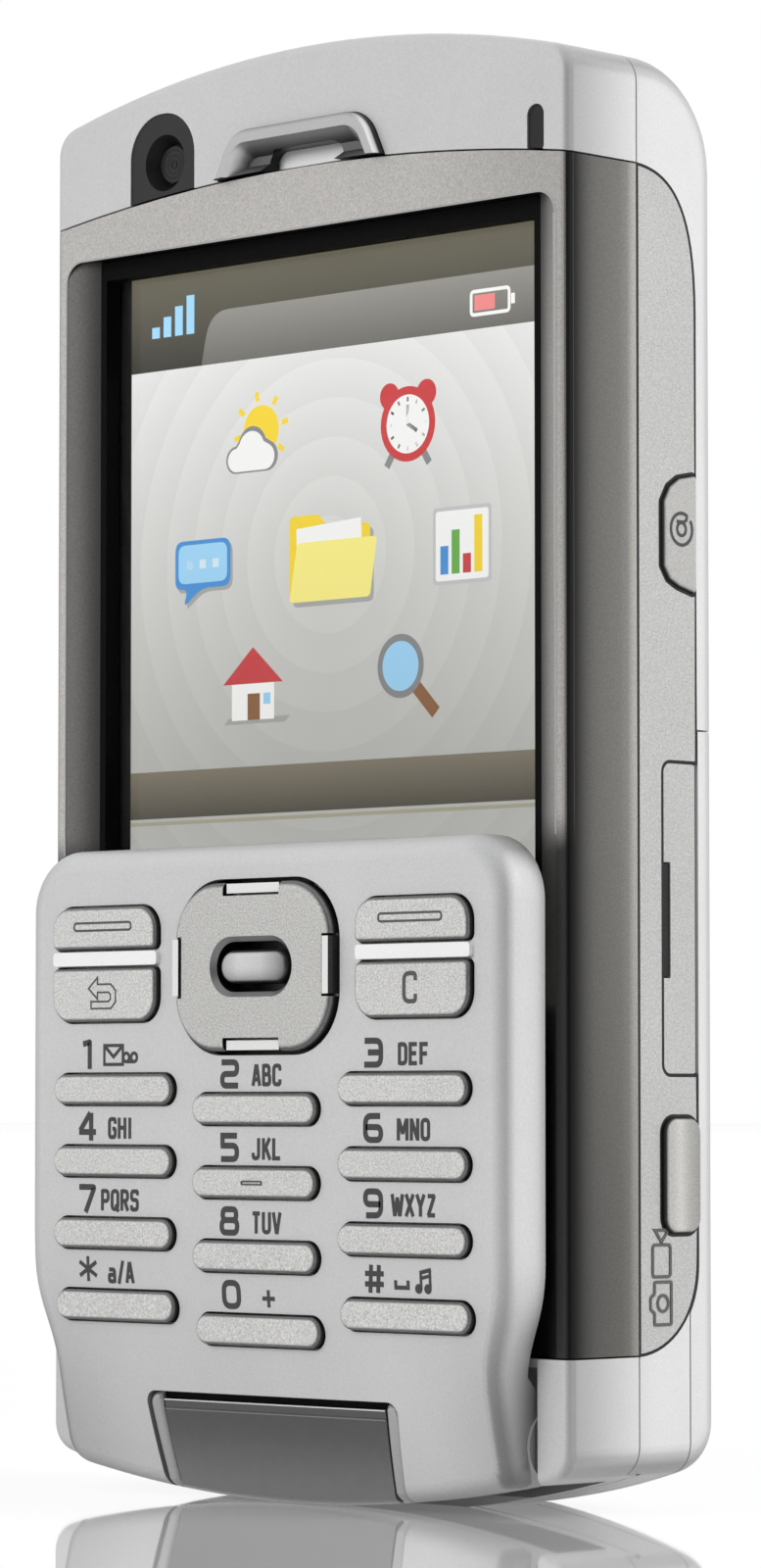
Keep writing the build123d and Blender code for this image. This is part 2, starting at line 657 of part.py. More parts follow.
CHIN = (OUTSIDE & FRONT_HALF) & block(-FAR, FAR, -FAR, FAR, 0, CHIN_Z - SEAM / 2)
CHIN = CHIN - block(-KNUCKLE_X, KNUCKLE_X, -FAR, SEAM_Y, -1, CHIN_Z + 1)
CRADLE = rod_x(CRADLE_R, -KNUCKLE_X - 1.6, KNUCKLE_X + 1.6, HINGE_Y, HINGE_Z) & OUTSIDE
CRADLE = CRADLE & block(-FAR, FAR, -FAR, FAR, 0, CHIN_Z - SEAM / 2)
CHIN = CHIN + CRADLE
CHIN = CHIN - rod_x(POCKET_R, -KNUCKLE_X, KNUCKLE_X, HINGE_Y, HINGE_Z)
CHIN = CHIN - block(-KNUCKLE_X, KNUCKLE_X, -FAR, HINGE_Y + 4.4, -1, 1.5)
CHIN = CHIN - block(-KNUCKLE_X, KNUCKLE_X, -FAR, BEZEL_Y + 0.3, -1, FAR)
for side in (-1, 1):
    hole = rod_x(PIN_R + 0.02, PIN_IN, PIN_OUT + 0.02, HINGE_Y, HINGE_Z)
    CHIN = CHIN - (hole if side > 0 else mirrored(hole))
save("chin_block", one(CHIN))
PIN = rod_x(PIN_R, PIN_IN, PIN_OUT, HINGE_Y, HINGE_Z)
save("hinge_pins", PIN, mirrored(PIN))

# Flip


def flip_bend(inset, z):
    radius = FLIP_BEND_R - inset
    if z >= FLIP_BEND_Z:
        return FLIP_FACE_Y + inset
    return FLIP_FACE_Y + FLIP_BEND_R - math.sqrt(radius ** 2 - (FLIP_BEND_Z - z) ** 2)


def flip_profile(inset, back):
    top = FLIP_TOP + 2
    low = -1.0
    mid = (FLIP_BEND_Z + low) / 2
    heel_y = HINGE_Y - 1.2
    heel_z = 9.0
    lines = [
        Line((flip_bend(inset, top), top), (flip_bend(inset, top), FLIP_BEND_Z)),
        ThreePointArc((flip_bend(inset, FLIP_BEND_Z), FLIP_BEND_Z),
                      (flip_bend(inset, mid), mid), (flip_bend(inset, low), low)),
        Line((flip_bend(inset, low), low), (heel_y, low)),
        Line((heel_y, low), (heel_y, heel_z)),
        Line((heel_y, heel_z), (back, heel_z + 1.6)),
        Line((back, heel_z + 1.6), (back, top)),
        Line((back, top), (flip_bend(inset, top), top)),
    ]
    return make_face(lines)


def flip_outline(inset):
    low = FLIP_LOW_HALF - inset
    wide = FLIP_HALF - inset
    top = FLIP_TOP - inset
    base = FLIP_BASE + inset
    end_z = base + low ** 2 / (2 * FLIP_ARC_R)
    lines = [ThreePointArc((-low, end_z), (0, base), (low, end_z))]
    for side in (-1, 1):
        lines.append(Line((side * low, end_z), (side * low, FLIP_LOW_Z)))
        lines.append(Bezier((side * low, FLIP_LOW_Z), (side * low, FLIP_LOW_Z + 4),
                            (side * wide, FLIP_WIDE_Z - 4.5), (side * wide, FLIP_WIDE_Z)))
        lines.append(Line((side * wide, FLIP_WIDE_Z), (side * wide, top)))
    lines.append(Line((-wide, top), (wide, top)))
    face = make_face(lines)
    tops = [vertex for vertex in face.vertices() if vertex.Y > top - 1]
    face = fillet(tops, FLIP_TOP_R - inset)
    lows = [vertex for vertex in face.vertices() if vertex.Y < 6]
    return fillet(lows, FLIP_LOW_R)


OUTLINE = flip_outline(0)
PLATE = along_y(OUTLINE, FLIP_FACE_Y - 2, HINGE_Y + 2)
PLATE = one(PLATE & along_x(flip_profile(0, FLIP_BACK_Y), -FAR, FAR))
RIM_EDGES = []
for face in PLATE.faces():
    middle = face.center()
    if abs(middle.Y - flip_bend(0, middle.Z)) < 0.4 and face.area > 200:
        for edge in face.edges():
            across = abs(edge.center().Z - FLIP_BEND_Z) < 0.01 and abs(edge.center().X) < 0.1
            if not across:
                RIM_EDGES.append(edge)
PLATE = PLATE.fillet(FLIP_EDGE_R, RIM_EDGES)

BARREL_END = BARREL_R - BARREL_HALF ** 2 / (2 * FLIP_ARC_R)
BARREL_FACE = make_face([
    Line((-BARREL_HALF, 0), (BARREL_HALF, 0)),
    Line((BARREL_HALF, 0), (BARREL_HALF, BARREL_END)),
    ThreePointArc((BARREL_HALF, BARREL_END), (0, BARREL_R), (-BARREL_HALF, BARREL_END)),
    Line((-BARREL_HALF, BARREL_END), (-BARREL_HALF, 0)),
])
HINGE_PLANE = Plane((0, HINGE_Y, HINGE_Z), x_dir=(1, 0, 0), z_dir=(0, -1, 0))
HINGE_AXIS = Axis((0, HINGE_Y, HINGE_Z), (1, 0, 0))
BARREL = revolve(HINGE_PLANE * BARREL_FACE, axis=HINGE_AXIS)
FLIP = PLATE + BARREL
BORE = rod_x(PIN_R + PIN_GAP, PIN_IN - MOVE_GAP, HALF + 1, HINGE_Y, HINGE_Z)
FLIP = FLIP - BORE - mirrored(BORE)
BAY = along_y(flip_outline(FLIP_RIM), FLIP_FACE_Y - 2, HINGE_Y)
BAY = BAY & block(-FAR, FAR, -FAR, FAR, FLIP_BAY_Z, FAR)
FLIP = FLIP - (BAY & along_x(flip_profile(FLIP_WALL, HINGE_Y), -FAR, FAR))

# Keypad keys


def key_body(outline, center_z, low_z):
    top = flip_bend(0, center_z) - KEY_RISE
    seat = flip_bend(FLIP_WALL, low_z) + 0.1
    cap = one(along_y(outline(0), top, PLUNGE_Y))
    cap = softened(cap, Axis.Y, False, KEY_EDGE_R)
    return one(cap + along_y(outline(FLANGE), seat, seat + FLANGE_T))


def number_outline(x, z):
    def outline(grow):
        return Pos(x, z) * SlotOverall(KEY_W + 2 * grow, KEY_H + 2 * grow)
    return outline


def soft_outline(side, z0, z1, rounded_top):
    def outline(grow):
        width = SOFT_OUT - SOFT_IN
        shape = Pos(side * (SOFT_IN + SOFT_OUT) / 2, (z0 + z1) / 2) * Rectangle(width, z1 - z0)
        middle = (z0 + z1) / 2
        picked = [v for v in shape.vertices() if (v.Y > middle) == rounded_top]
        shape = fillet(picked, 1.9)
        others = [v for v in shape.vertices() if (v.Y > middle) != rounded_top]
        corners = [v for v in others if min(abs(v.Y - z0), abs(v.Y - z1)) < 0.01]
        shape = fillet(corners, 0.5)
        return offset(shape, grow)
    return outline


KEY_NAMES = (("key_1", "key_2", "key_3"), ("key_4", "key_5", "key_6"),
             ("key_7", "key_8", "key_9"), ("key_star", "key_0", "key_hash"))
for row, names in zip(KEY_ROWS, KEY_NAMES):
    for column, name in zip((-1, 0, 1), names):
        z = row - KEY_DROP if column == 0 else row
        outline = number_outline(column * KEY_COLUMN, z)
        save(name, key_body(outline, z, z - KEY_H / 2 - FLANGE))
        FLIP = FLIP - along_y(outline(KEY_GAP), FLIP_FACE_Y - 2, KEYPAD_Y)

SOFT_KEYS = (("soft_key_left", -1, STRIP_HIGH + 0.2, SOFT_TOP, True),
             ("soft_key_right", 1, STRIP_HIGH + 0.2, SOFT_TOP, True),
             ("key_back", -1, SOFT_BASE, STRIP_LOW - 0.2, False),
             ("key_clear", 1, SOFT_BASE, STRIP_LOW - 0.2, False))
SOFT_FLANGE = 0.3
for name, side, z0, z1, rounded_top in SOFT_KEYS:
    outline = soft_outline(side, z0, z1, rounded_top)
    top = FLIP_FACE_Y - KEY_RISE
    seat = FLIP_FACE_Y + FLIP_WALL + 0.1
    cap = softened(one(along_y(outline(0), top, PLUNGE_Y)), Axis.Y, False, KEY_EDGE_R)
    save(name, one(cap + along_y(outline(SOFT_FLANGE), seat, seat + FLANGE_T)))
    FLIP = FLIP - along_y(outline(KEY_GAP), FLIP_FACE_Y - 2, KEYPAD_Y)

STRIPS = []
for side in (-1, 1):
    middle = side * (SOFT_IN + SOFT_OUT) / 2
    bar = along_y(Pos(middle, (STRIP_LOW + STRIP_HIGH) / 2)
                  * RectangleRounded(SOFT_OUT - SOFT_IN, STRIP_HIGH - STRIP_LOW, 0.3),
                  FLIP_FACE_Y - 0.4, FLIP_FACE_Y)
    STRIPS.append(one(bar))
save("soft_key_strips", *STRIPS)

# Navigation pad, its tilting light guide and the select key


def nav_outline(grow):
    width = 2 * (NAV_HALF_X + grow)
    height = 2 * (NAV_HALF_Z + grow)
    return Pos(0, NAV_Z) * RectangleRounded(width, height, NAV_R + grow)


NAV_TOP = FLIP_FACE_Y - NAV_RISE
NAV_BACK = NAV_TOP + NAV_T
PAD = one(along_y(nav_outline(0), NAV_TOP, NAV_BACK))
PAD = softened(PAD, Axis.Y, False, 0.6)
SELECT_HOLE = Pos(0, NAV_Z) * SlotOverall(SELECT_HOLE_W, SELECT_HOLE_H)
PAD = PAD - along_y(SELECT_HOLE, -FAR, 0)
BEVEL_TOP = SlotOverall(SELECT_HOLE_W + 2 * SELECT_BEVEL, SELECT_HOLE_H + 2 * SELECT_BEVEL)
BEVEL_FACE = Pos(0, NAV_TOP) * Rot(90, 0, 0) * (Pos(0, NAV_Z) * BEVEL_TOP)
PAD = PAD - extrude(BEVEL_FACE, SELECT_BEVEL, dir=(0, 1, 0), taper=45)
TAB_X = NAV_HALF_X - 0.75
TAB_HALF_Z = 2.2
TAB_Z = NAV_HALF_Z - 0.85
TAB_HALF_X = 2.9
TAB_GAP = 0.2
for side in (-1, 1):
    x0, x1 = sorted((side * (TAB_X - TAB_GAP), side * FAR))
    PAD = PAD - block(x0, x1, -FAR, 0, NAV_Z - TAB_HALF_Z - TAB_GAP, NAV_Z + TAB_HALF_Z + TAB_GAP)
    z0, z1 = sorted((side * (TAB_Z - TAB_GAP), side * 10))
    PAD = PAD - block(-TAB_HALF_X - TAB_GAP, TAB_HALF_X + TAB_GAP, -FAR, 0, NAV_Z + z0, NAV_Z + z1)
RIB_R = 0.4
for side in (-1, 1):
    x0, x1 = sorted((side * 4.9, side * 7.3))
    PAD = PAD - rod_x(RIB_R + 0.1, x0 - 0.2, x1 + 0.2, NAV_AXIS_Y, NAV_Z)
save("nav_pad", one(PAD))

GUIDE_Y0 = deep(-3.75)
GUIDE_Y1 = deep(-3.0)
GUIDE = along_y(nav_outline(-0.1), GUIDE_Y0, GUIDE_Y1)
GUIDE = GUIDE - along_y(Pos(0, NAV_Z) * RectangleRounded(9.0, 5.2, 2.4), -FAR, 0)
for side in (-1, 1):
    x0, x1 = sorted((side * TAB_X, side * (NAV_HALF_X - 0.1)))
    GUIDE = GUIDE + block(x0, x1, FLIP_FACE_Y - TAB_RISE, GUIDE_Y1,
                          NAV_Z - TAB_HALF_Z, NAV_Z + TAB_HALF_Z)
    z0, z1 = sorted((side * TAB_Z, side * (NAV_HALF_Z - 0.1)))
    GUIDE = GUIDE + block(-TAB_HALF_X, TAB_HALF_X, FLIP_FACE_Y - 0.5, GUIDE_Y1,
                          NAV_Z + z0, NAV_Z + z1)
    x0, x1 = sorted((side * 4.9, side * 7.3))
    GUIDE = GUIDE + rod_x(RIB_R, x0, x1, NAV_AXIS_Y, NAV_Z)
    z0, z1 = sorted((side * 3.4, side * 5.8))
    GUIDE = GUIDE + rod_z(RIB_R, 0, GUIDE_AXIS_Y, NAV_Z + z0, NAV_Z + z1)
save("nav_light_guide", one(GUIDE))

SELECT = one(along_y(Pos(0, NAV_Z) * SlotOverall(SELECT_W, SELECT_H), FLIP_FACE_Y - 0.6, PLUNGE_Y))
SELECT = softened(SELECT, Axis.Y, False, 0.6)
save("select_key", SELECT)
FLIP = FLIP - along_y(nav_outline(NAV_GAP), FLIP_FACE_Y - 2, KEYPAD_Y)

# Badge tile and frame on the hinge barrel


def badge_area(top_half, base_half, top_z, base_z, corner=0):
    shape = polygon([(-top_half, top_z), (top_half, top_z), (base_half, base_z), (-base_half, base_z)])
    if corner:
        tops = [vertex for vertex in shape.vertices() if vertex.Y > top_z - 0.1]
        shape = fillet(tops, corner)
    return shape


def badge_layer(area, shallow, depth):
    layer = along_x(flip_profile(shallow, FLIP_BACK_Y), -FAR, FAR)
    layer = layer - along_x(flip_profile(depth, FLIP_BACK_Y), -FAR, FAR)
    return along_y(area, FLIP_FACE_Y - 2, HINGE_Y) & layer


BADGE_DEPTH = 1.0
BADGE_FLOOR = BADGE_DEPTH - 0.03
BADGE_TOP = 8.4
BADGE_GAP = 1.3
RAIL_EDGE_R = 0.5
FLIP = FLIP - badge_layer(badge_area(13.9, 12.9, BADGE_TOP, -2, 1.0), -1.0, BADGE_DEPTH)
TILE = badge_layer(badge_area(12.2, 11.5, BADGE_TOP - BADGE_GAP, -2), 0.3, BADGE_FLOOR) & PLATE
save("hinge_badge", one(TILE))
RAIL_AREA = badge_area(13.8, 12.8, BADGE_TOP - 0.1, -2, 0.9) - badge_area(12.4, 11.6, BADGE_TOP, -2.1)
BAR_AREA = badge_area(13.0, 12.9, BADGE_TOP - 0.1, BADGE_TOP - BADGE_GAP + 0.1)
RAILS = badge_layer(BAR_AREA, 0.75, BADGE_FLOOR) & PLATE
for rail in (badge_layer(RAIL_AREA, 0.1, BADGE_FLOOR) & PLATE).solids():
    fronts = [face for face in rail.faces() if abs(face.normal_at().X) < 0.3 and face.normal_at().Y < -0.3]
    sides = [face for face in rail.faces() if abs(face.normal_at().X) > 0.8]
    side_edges = [edge for face in sides for edge in face.edges()]
    long_edges = [edge for face in fronts for edge in face.edges() if edge in side_edges]
    RAILS = RAILS + rail.fillet(RAIL_EDGE_R, long_edges)
save("badge_frame", one(RAILS))
save("flip_cover", one(FLIP))

BACK_AREA = flip_outline(FLIP_RIM + 0.08)
INNER = along_y(BACK_AREA, INNER_Y, FLIP_BACK_Y)
INNER = INNER & block(-FAR, FAR, -FAR, FAR, FLIP_BAY_Z + 0.08, FAR)
save("flip_inner_cover", one(INNER))
KEYPAD = along_y(flip_outline(FLIP_RIM + 0.3), KEYPAD_Y, KEYPAD_Y + KEYPAD_T)
KEYPAD = KEYPAD & block(-FAR, FAR, -FAR, FAR, FLIP_BAY_Z + 0.3, FAR)
save("keypad_board", one(KEYPAD))

# Inside parts

BOARD_Y = deep(6.0)
BOARD_T = 0.9
BOARD_BACK = BOARD_Y + BOARD_T
BOARD_HALF = FRAME_IN - 0.6
BOARD = block(-BOARD_HALF, BOARD_HALF, BOARD_Y, BOARD_BACK, CHIN_Z + 2.0, LIP_TOP + 1.0)
CAN_BACK = BOARD_BACK + 1.9
CANS = [
    block(7.4 - BOARD_HALF, 2, BOARD_BACK, CAN_BACK, COVER_TOP + 2.6, LIP_TOP - 9.5),
    block(4, BOARD_HALF - 3.4, BOARD_BACK, CAN_BACK, COVER_TOP + 6.6, LIP_TOP - 3.5),
    block(5.4 - BOARD_HALF, 8, BOARD_BACK, CAN_BACK, CHIN_Z + 10, CHIN_Z + 20),
]
CAGE_X0 = CARD_X0 - 2.0
CAGE_BASE = CARD_Z - CARD_W / 2 - 1.0
CAGE_TOP = CARD_Z + CARD_W / 2 + 1.0
CAGE = block(CAGE_X0, FLANGE_IN, CAN_BACK + 0.1, TRAY_Y, CAGE_BASE, CAGE_TOP)
CAGE = CAGE - card_room(CARD_X0 - 1.2, CARD_GAP)
CAGE_FEET = block(CAGE_X0, FLANGE_IN - 5.6, BOARD_BACK, CAN_BACK + 0.1, CAGE_BASE, CAGE_TOP)
save("main_board", BOARD, *CANS, one(CAGE + CAGE_FEET))
CARD = card_room(CARD_X0, 0) & block(-FAR, CARD_X0 + CARD_L, -FAR, FAR, -FAR, FAR)
save("memory_card", one(CARD))
CELL = block(-BATTERY_HALF, BATTERY_HALF, TRAY_Y + TRAY_T + 0.05, TRAY_Y + TRAY_T + 0.05 + BATTERY_T,
             BATTERY_BASE, BATTERY_TOP)
CELL = one(CELL)
CELL = CELL.fillet(1.0, CELL.edges().filter_by(Axis.Y))
save("battery", CELL)
SOCKET = CONNECTOR - block(-SOCKET_HALF + 0.8, SOCKET_HALF - 0.8, SOCKET_Y0 + 0.5, SOCKET_Y1 - 0.5,
                           -1, SOCKET_BASE + 3.7)
save("system_connector", one(SOCKET))

PLATE_Y = BACK_Y - 0.3
CAMERA_PLATE = along_y(camera_plate(0), BACK_Y - 2.0, PLATE_Y)
CAMERA_PLATE = CAMERA_PLATE - rod_y(CAMERA_R + 0.1, CAMERA_X, -FAR, FAR, CAMERA_Z)
CAMERA_PLATE = CAMERA_PLATE - rod_y(LIGHT_R + 0.1, LIGHT_X, -FAR, FAR, CAMERA_Z)
save("rear_camera_bezel", one(CAMERA_PLATE))
BACK_LENS = rod_y(CAMERA_R, CAMERA_X, BACK_Y - 7.0, BACK_Y - 0.7, CAMERA_Z)
save("rear_camera_lens", BACK_LENS)
save("photo_light", rod_y(LIGHT_R, LIGHT_X, BACK_Y - 3.5, BACK_Y - 0.5, CAMERA_Z))
save("loudspeaker", rod_y(SPEAKER_R, 0, BACK_Y - 5.2, BACK_Y - 1.75, SPEAKER_Z))

MOTOR = rod_x(MOTOR_R, -9.0, -1.0, MOTOR_Y, MOTOR_Z)
MOTOR = MOTOR + rod_x(SHAFT_R, -1.5, 3.2, MOTOR_Y, MOTOR_Z)
save("vibration_motor", one(MOTOR))
WEIGHT = rod_x(WEIGHT_R, -0.4, 2.8, MOTOR_Y, MOTOR_Z)
WEIGHT = WEIGHT - block(-FAR, FAR, -FAR, FAR, MOTOR_Z + 0.6, FAR * 2)
WEIGHT = WEIGHT - rod_x(SHAFT_R + PIN_GAP, -FAR, FAR, MOTOR_Y, MOTOR_Z)
save("vibration_weight", one(WEIGHT))

WHEEL = one(rod_y(JOG_R, JOG_X, JOG_Y0, JOG_Y1, JOG_Z))
for count in range(24):
    angle = math.radians(15 * count + 7.5)
    notch_x = JOG_X + JOG_R * math.cos(angle)
    notch_z = JOG_Z + JOG_R * math.sin(angle)
    WHEEL = WHEEL - rod_y(0.3, notch_x, -FAR, FAR, notch_z)
WHEEL = WHEEL + rod_y(AXLE_R, JOG_X, JOG_Y0 - 0.9, JOG_Y1 + 0.9, JOG_Z)
save("jog_dial", one(WHEEL))

ROD = rod_z(STYLUS_R, STYLUS_X, STYLUS_Y, STYLUS_BASE, BODY_H) & OUTSIDE
TIP = Pos(STYLUS_X, STYLUS_Y, STYLUS_BASE - 0.5) * Cone(0.5, STYLUS_R, 1.0)
save("stylus", one(ROD + TIP))
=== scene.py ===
import math

import bmesh
import bpy
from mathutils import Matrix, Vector


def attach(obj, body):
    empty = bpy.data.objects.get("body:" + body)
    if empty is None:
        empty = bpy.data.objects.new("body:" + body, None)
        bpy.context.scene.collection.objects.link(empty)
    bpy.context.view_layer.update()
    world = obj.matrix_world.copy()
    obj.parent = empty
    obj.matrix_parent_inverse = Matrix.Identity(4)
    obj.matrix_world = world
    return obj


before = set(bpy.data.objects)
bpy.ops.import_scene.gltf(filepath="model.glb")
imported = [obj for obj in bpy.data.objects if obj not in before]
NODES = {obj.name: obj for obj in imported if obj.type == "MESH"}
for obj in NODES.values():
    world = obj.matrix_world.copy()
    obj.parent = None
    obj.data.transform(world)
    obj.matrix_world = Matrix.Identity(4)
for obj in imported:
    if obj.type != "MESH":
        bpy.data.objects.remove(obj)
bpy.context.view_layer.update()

MM = 0.001

# Planes of the phone in mm, as in the CAD model
FLIP_FACE_Y = -11.6
FLIP_BEND_Z = 22.0
FLIP_BEND_R = 75.0
KEY_TOP_Y = -12.2
BEZEL_FACE_Y = -7.0
BOARD_KEY_Y = -6.7
LCD_Y = -3.55
SIDE_X = 28.5
WEB_KEY_X = 28.85
DOOR_X = 28.36

# Places on those planes in mm
KEY_COLUMN = 15.97
KEY_ROWS = (32.05, 26.367, 20.683, 15.0)
KEY_DROP = 1.55
SOFT_KEY_X = 17.0
SOFT_KEY_Z = 44.95
LOWER_KEY_Z = 39.65
NAV_Z = 41.4
FRONT_LENS_AT = (-15.58, 106.5)
REAR_LENS_AT = (-4.5, 92.0)
LAMP_AT = (6.6, 92.0)

# Bands of the screen picture in mm
LIT_HALF = 22.85
FOOT_Z = 53.9
FIELD_Z = 57.7
HEADER_Z = 90.3
TAB_Z = 94.6
SCREEN_TOP_Z = 98.6
RING_CENTRE_Z = 74.0
RING_PITCH = 3.1

# How deep raised lines are rooted in their surface, in mm
SUNK = 0.03

# Printed signs in mm: rise above the surface, sizes, half widths of strokes and places beside the keys
PRINT_RISE = 0.02
STROKE_STEP = 0.004
SIGN_HEIGHT = 2.2
SIGN_WIDTH = 1.95
SIGN_STROKE = 0.235
THIN_STROKES = {"*": 0.16, "#": 0.2}
LETTER_HEIGHT = 1.66
LETTER_STROKE = 0.165
SIGN_X = {-1: -3.35, 0: -3.05, 1: -3.4}
WORD_X = {-1: 0.45, 0: 1.05, 1: 0.85}
SIGN_LIFT = 2.72

# Steps of turned forms and rounded corners, the most of a side that a corner takes, and a limit for mitres
TURN_STEPS = 48
CORNER_STEPS = 5
CORNER_SHARE = 0.48
MITRE_LIMIT = 0.4

# Noise scales of the paints, per metre
SPECK_SCALE = 7200
CLOUD_SCALE = 70
SHEEN_SCALE = 5200
SKIN_SCALE = 6400


def rgb(colour):
    """A colour as three numbers. One number means a grey."""
    return colour if isinstance(colour, tuple) else (colour,) * 3


class Wiring:
    """Adds nodes to a tree. Values are sockets to link or constants to set, results are sockets."""

    def __init__(self, tree):
        self.tree = tree

    def feed(self, target, values):
        for key, value in values.items():
            socket = target.inputs[key]
            if isinstance(value, bpy.types.NodeSocket):
                self.tree.links.new(value, socket)
            else:
                socket.default_value = (*rgb(value), 1) if socket.type == "RGBA" else value

    def add(self, kind, values, **settings):
        made = self.tree.nodes.new("ShaderNode" + kind)
        for key, value in settings.items():
            setattr(made, key, value)
        self.feed(made, values)
        return made

    def math(self, operation, *values):
        return self.add("Math", dict(enumerate(values)), operation=operation).outputs[0]

    def span(self, value, low, high, to_low=0.0, to_high=1.0, smooth=True):
        """The range low to high, mapped to the range to_low to to_high."""
        ends = {"From Min": low, "From Max": high, "To Min": to_low, "To Max": to_high}
        kind = "SMOOTHSTEP" if smooth else "LINEAR"
        return self.add("MapRange", {"Value": value, **ends}, interpolation_type=kind).outputs[0]

    def scaled(self, colour, factor):
        return self.add("VectorMath", {0: colour, "Scale": factor}, operation="SCALE").outputs[0]

    def mixed(self, factor, first, second):
        return self.add("Mix", {"Factor": factor, 6: first, 7: second}, data_type="RGBA").outputs[2]

    def ramp(self, value, *stops):
        made = self.add("ValToRGB", {"Fac": value})
        stops = [(place, (*rgb(colour), 1)) for place, colour in stops]
        marks = made.color_ramp.elements
        marks[0].position, marks[0].color = stops[0]
        marks[-1].position, marks[-1].color = stops[-1]
        for place, colour in stops[1:-1]:
            marks.new(place).color = colour
        return made.outputs[0]

    def seen_by_eye(self):
        """1 for camera, glossy and transmitted rays."""
        rays = self.add("LightPath", {}).outputs
        total = rays["Is Camera Ray"]
        for ray in ("Is Glossy Ray", "Is Transmission Ray"):
            total = self.math("MAXIMUM", total, rays[ray])
        return total


class Look(Wiring):
    """A material with one shader, and places and directions on the piece that wears it."""

    def __init__(self, name):
        self.made = bpy.data.materials.new(name)
        self.made.use_nodes = True
        super().__init__(self.made.node_tree)
        self.shader = self.tree.nodes["Principled BSDF"]
        place = self.add("TexCoord", {}).outputs
        self.spot = place["Object"]
        self.at = self.add("SeparateXYZ", {"Vector": self.spot}).outputs
        self.way = self.add("SeparateXYZ", {"Vector": place["Normal"]}).outputs
        self.turn = self.math("ABSOLUTE", self.way["X"])
        self.front = self.math("MULTIPLY", self.way["Y"], -1.0)

    def run(self, axis, low, high, to_low=0.0, to_high=1.0, smooth=True):
        """A range between two places in mm along an axis of the phone."""
        return self.span(self.at[axis], low * MM, high * MM, to_low, to_high, smooth)

    def noise(self, scale, low, high, detail=2.0):
        values = {"Vector": self.spot, "Scale": scale, "Detail": detail, "Roughness": 0.6}
        return self.span(self.add("TexNoise", values).outputs["Fac"], 0.3, 0.7, low, high, False)

    def away(self, centre):
        """Distance from a place in mm."""
        values = {0: self.spot, 1: [value * MM for value in centre]}
        return self.add("VectorMath", values, operation="DISTANCE").outputs["Value"]

    def bump(self, height, strength, distance):
        values = {"Height": height, "Strength": strength, "Distance": distance}
        return self.add("Bump", values).outputs["Normal"]

    def set(self, base, rough, shine=0.5, **values):
        """Fills the shader in and gives the finished material back."""
        values = {key.replace("_", " ").title(): value for key, value in values.items()}
        values.update({"Base Color": base, "Roughness": rough, "Specular IOR Level": shine})
        self.feed(self.shader, values)
        return self.made


# Tones: colours by the direction or place of a surface, with light and shade painted into them


def key_tone(top, wall):
    """Top colour on the faces that look forward, wall colour on the walls, which is painted shade."""
    return lambda look: look.mixed(look.span(look.way["Y"], -0.7, -0.96), wall, top)


def side_key_tone(top, wall):
    """Top colour on the faces that look sideways, wall colour on the walls, which is painted shade."""
    return lambda look: look.mixed(look.span(look.turn, 0.5, 0.95), wall, top)


def bevelled_tone(top):
    """Top colour on the faces that look forward, then a grey bevel and black walls of painted shade."""
    # The top colour dimmed next to the top: painted shade
    dim = tuple(0.6 * value for value in top)
    return lambda look: look.ramp(
        look.front, (0.0, 0.007), (0.22, 0.012), (0.38, 0.1), (0.58, 0.2), (0.76, 0.1), (0.9, dim),
        (0.97, top), (1.0, top))


def select_tone(look):
    """Dished key with a painted highlight in the middle, painted shade towards its ends, most at its right
    end, and at its foot, and walls of painted shade.
    """
    skin = look.ramp(look.run("X", -3.7, 3.7, smooth=False), (0.0, 0.3), (0.12, 0.5), (0.3, 0.66),
                     (0.62, 0.6), (0.85, 0.36), (1.0, 0.14))
    # Painted shade towards the foot of the key
    painted_shading = look.scaled(skin, look.run("Z", 40.2, 41.6, 0.55))
    return look.mixed(look.span(look.way["Y"], -0.6, -0.92), 0.05, painted_shading)


def shutter_tone(look):
    """Crowned key with a painted highlight towards the front, painted shade towards the back and walls of
    painted shade.
    """
    skin = look.ramp(look.run("Y", 4.0, 7.5, smooth=False), (0.0, (0.44, 0.435, 0.42)),
                     (0.25, (0.54, 0.535, 0.515)), (0.55, (0.38, 0.375, 0.36)), (1.0, (0.25, 0.247, 0.237)))
    return look.mixed(look.span(look.turn, 0.5, 0.95), 0.015, skin)


def silver_tone(look):
    """Silver with painted shade where the shell turns from the front to its sides, and sides that are darker
    towards the front, also painted shade.
    """
    skin = look.ramp(look.turn, (0.0, (0.61, 0.61, 0.615)), (0.25, (0.58, 0.58, 0.583)),
                     (0.5, (0.44, 0.44, 0.443)), (0.8, (0.34, 0.34, 0.342)), (0.96, (0.5, 0.5, 0.503)),
                     (1.0, (0.66, 0.66, 0.664)))
    shaded = look.scaled(skin, look.run("Y", -9.0, 3.5, 0.5))
    return look.mixed(look.span(look.turn, 0.8, 0.98, smooth=False), skin, shaded)


def flip_tone(look):
    """Silver with painted shade before its rounded edge, a painted highlight on the edge and painted shade at
    its foot.
    """
    skin = look.ramp(look.turn, (0.0, (0.64, 0.64, 0.645)), (0.2, (0.56, 0.56, 0.563)),
                     (0.45, (0.46, 0.46, 0.463)), (0.65, (0.43, 0.43, 0.432)), (0.9, (0.64, 0.64, 0.644)),
                     (1.0, (0.6, 0.6, 0.604)))
    shaded = look.scaled(skin, look.run("Z", 5.0, 21.0, 0.42))
    side = look.span(look.math("ABSOLUTE", look.at["X"]), 14.0 * MM, 27.0 * MM, 0.0, 0.5)
    return look.mixed(look.math("MAXIMUM", look.span(look.turn, 0.0, 0.4), side), skin, shaded)


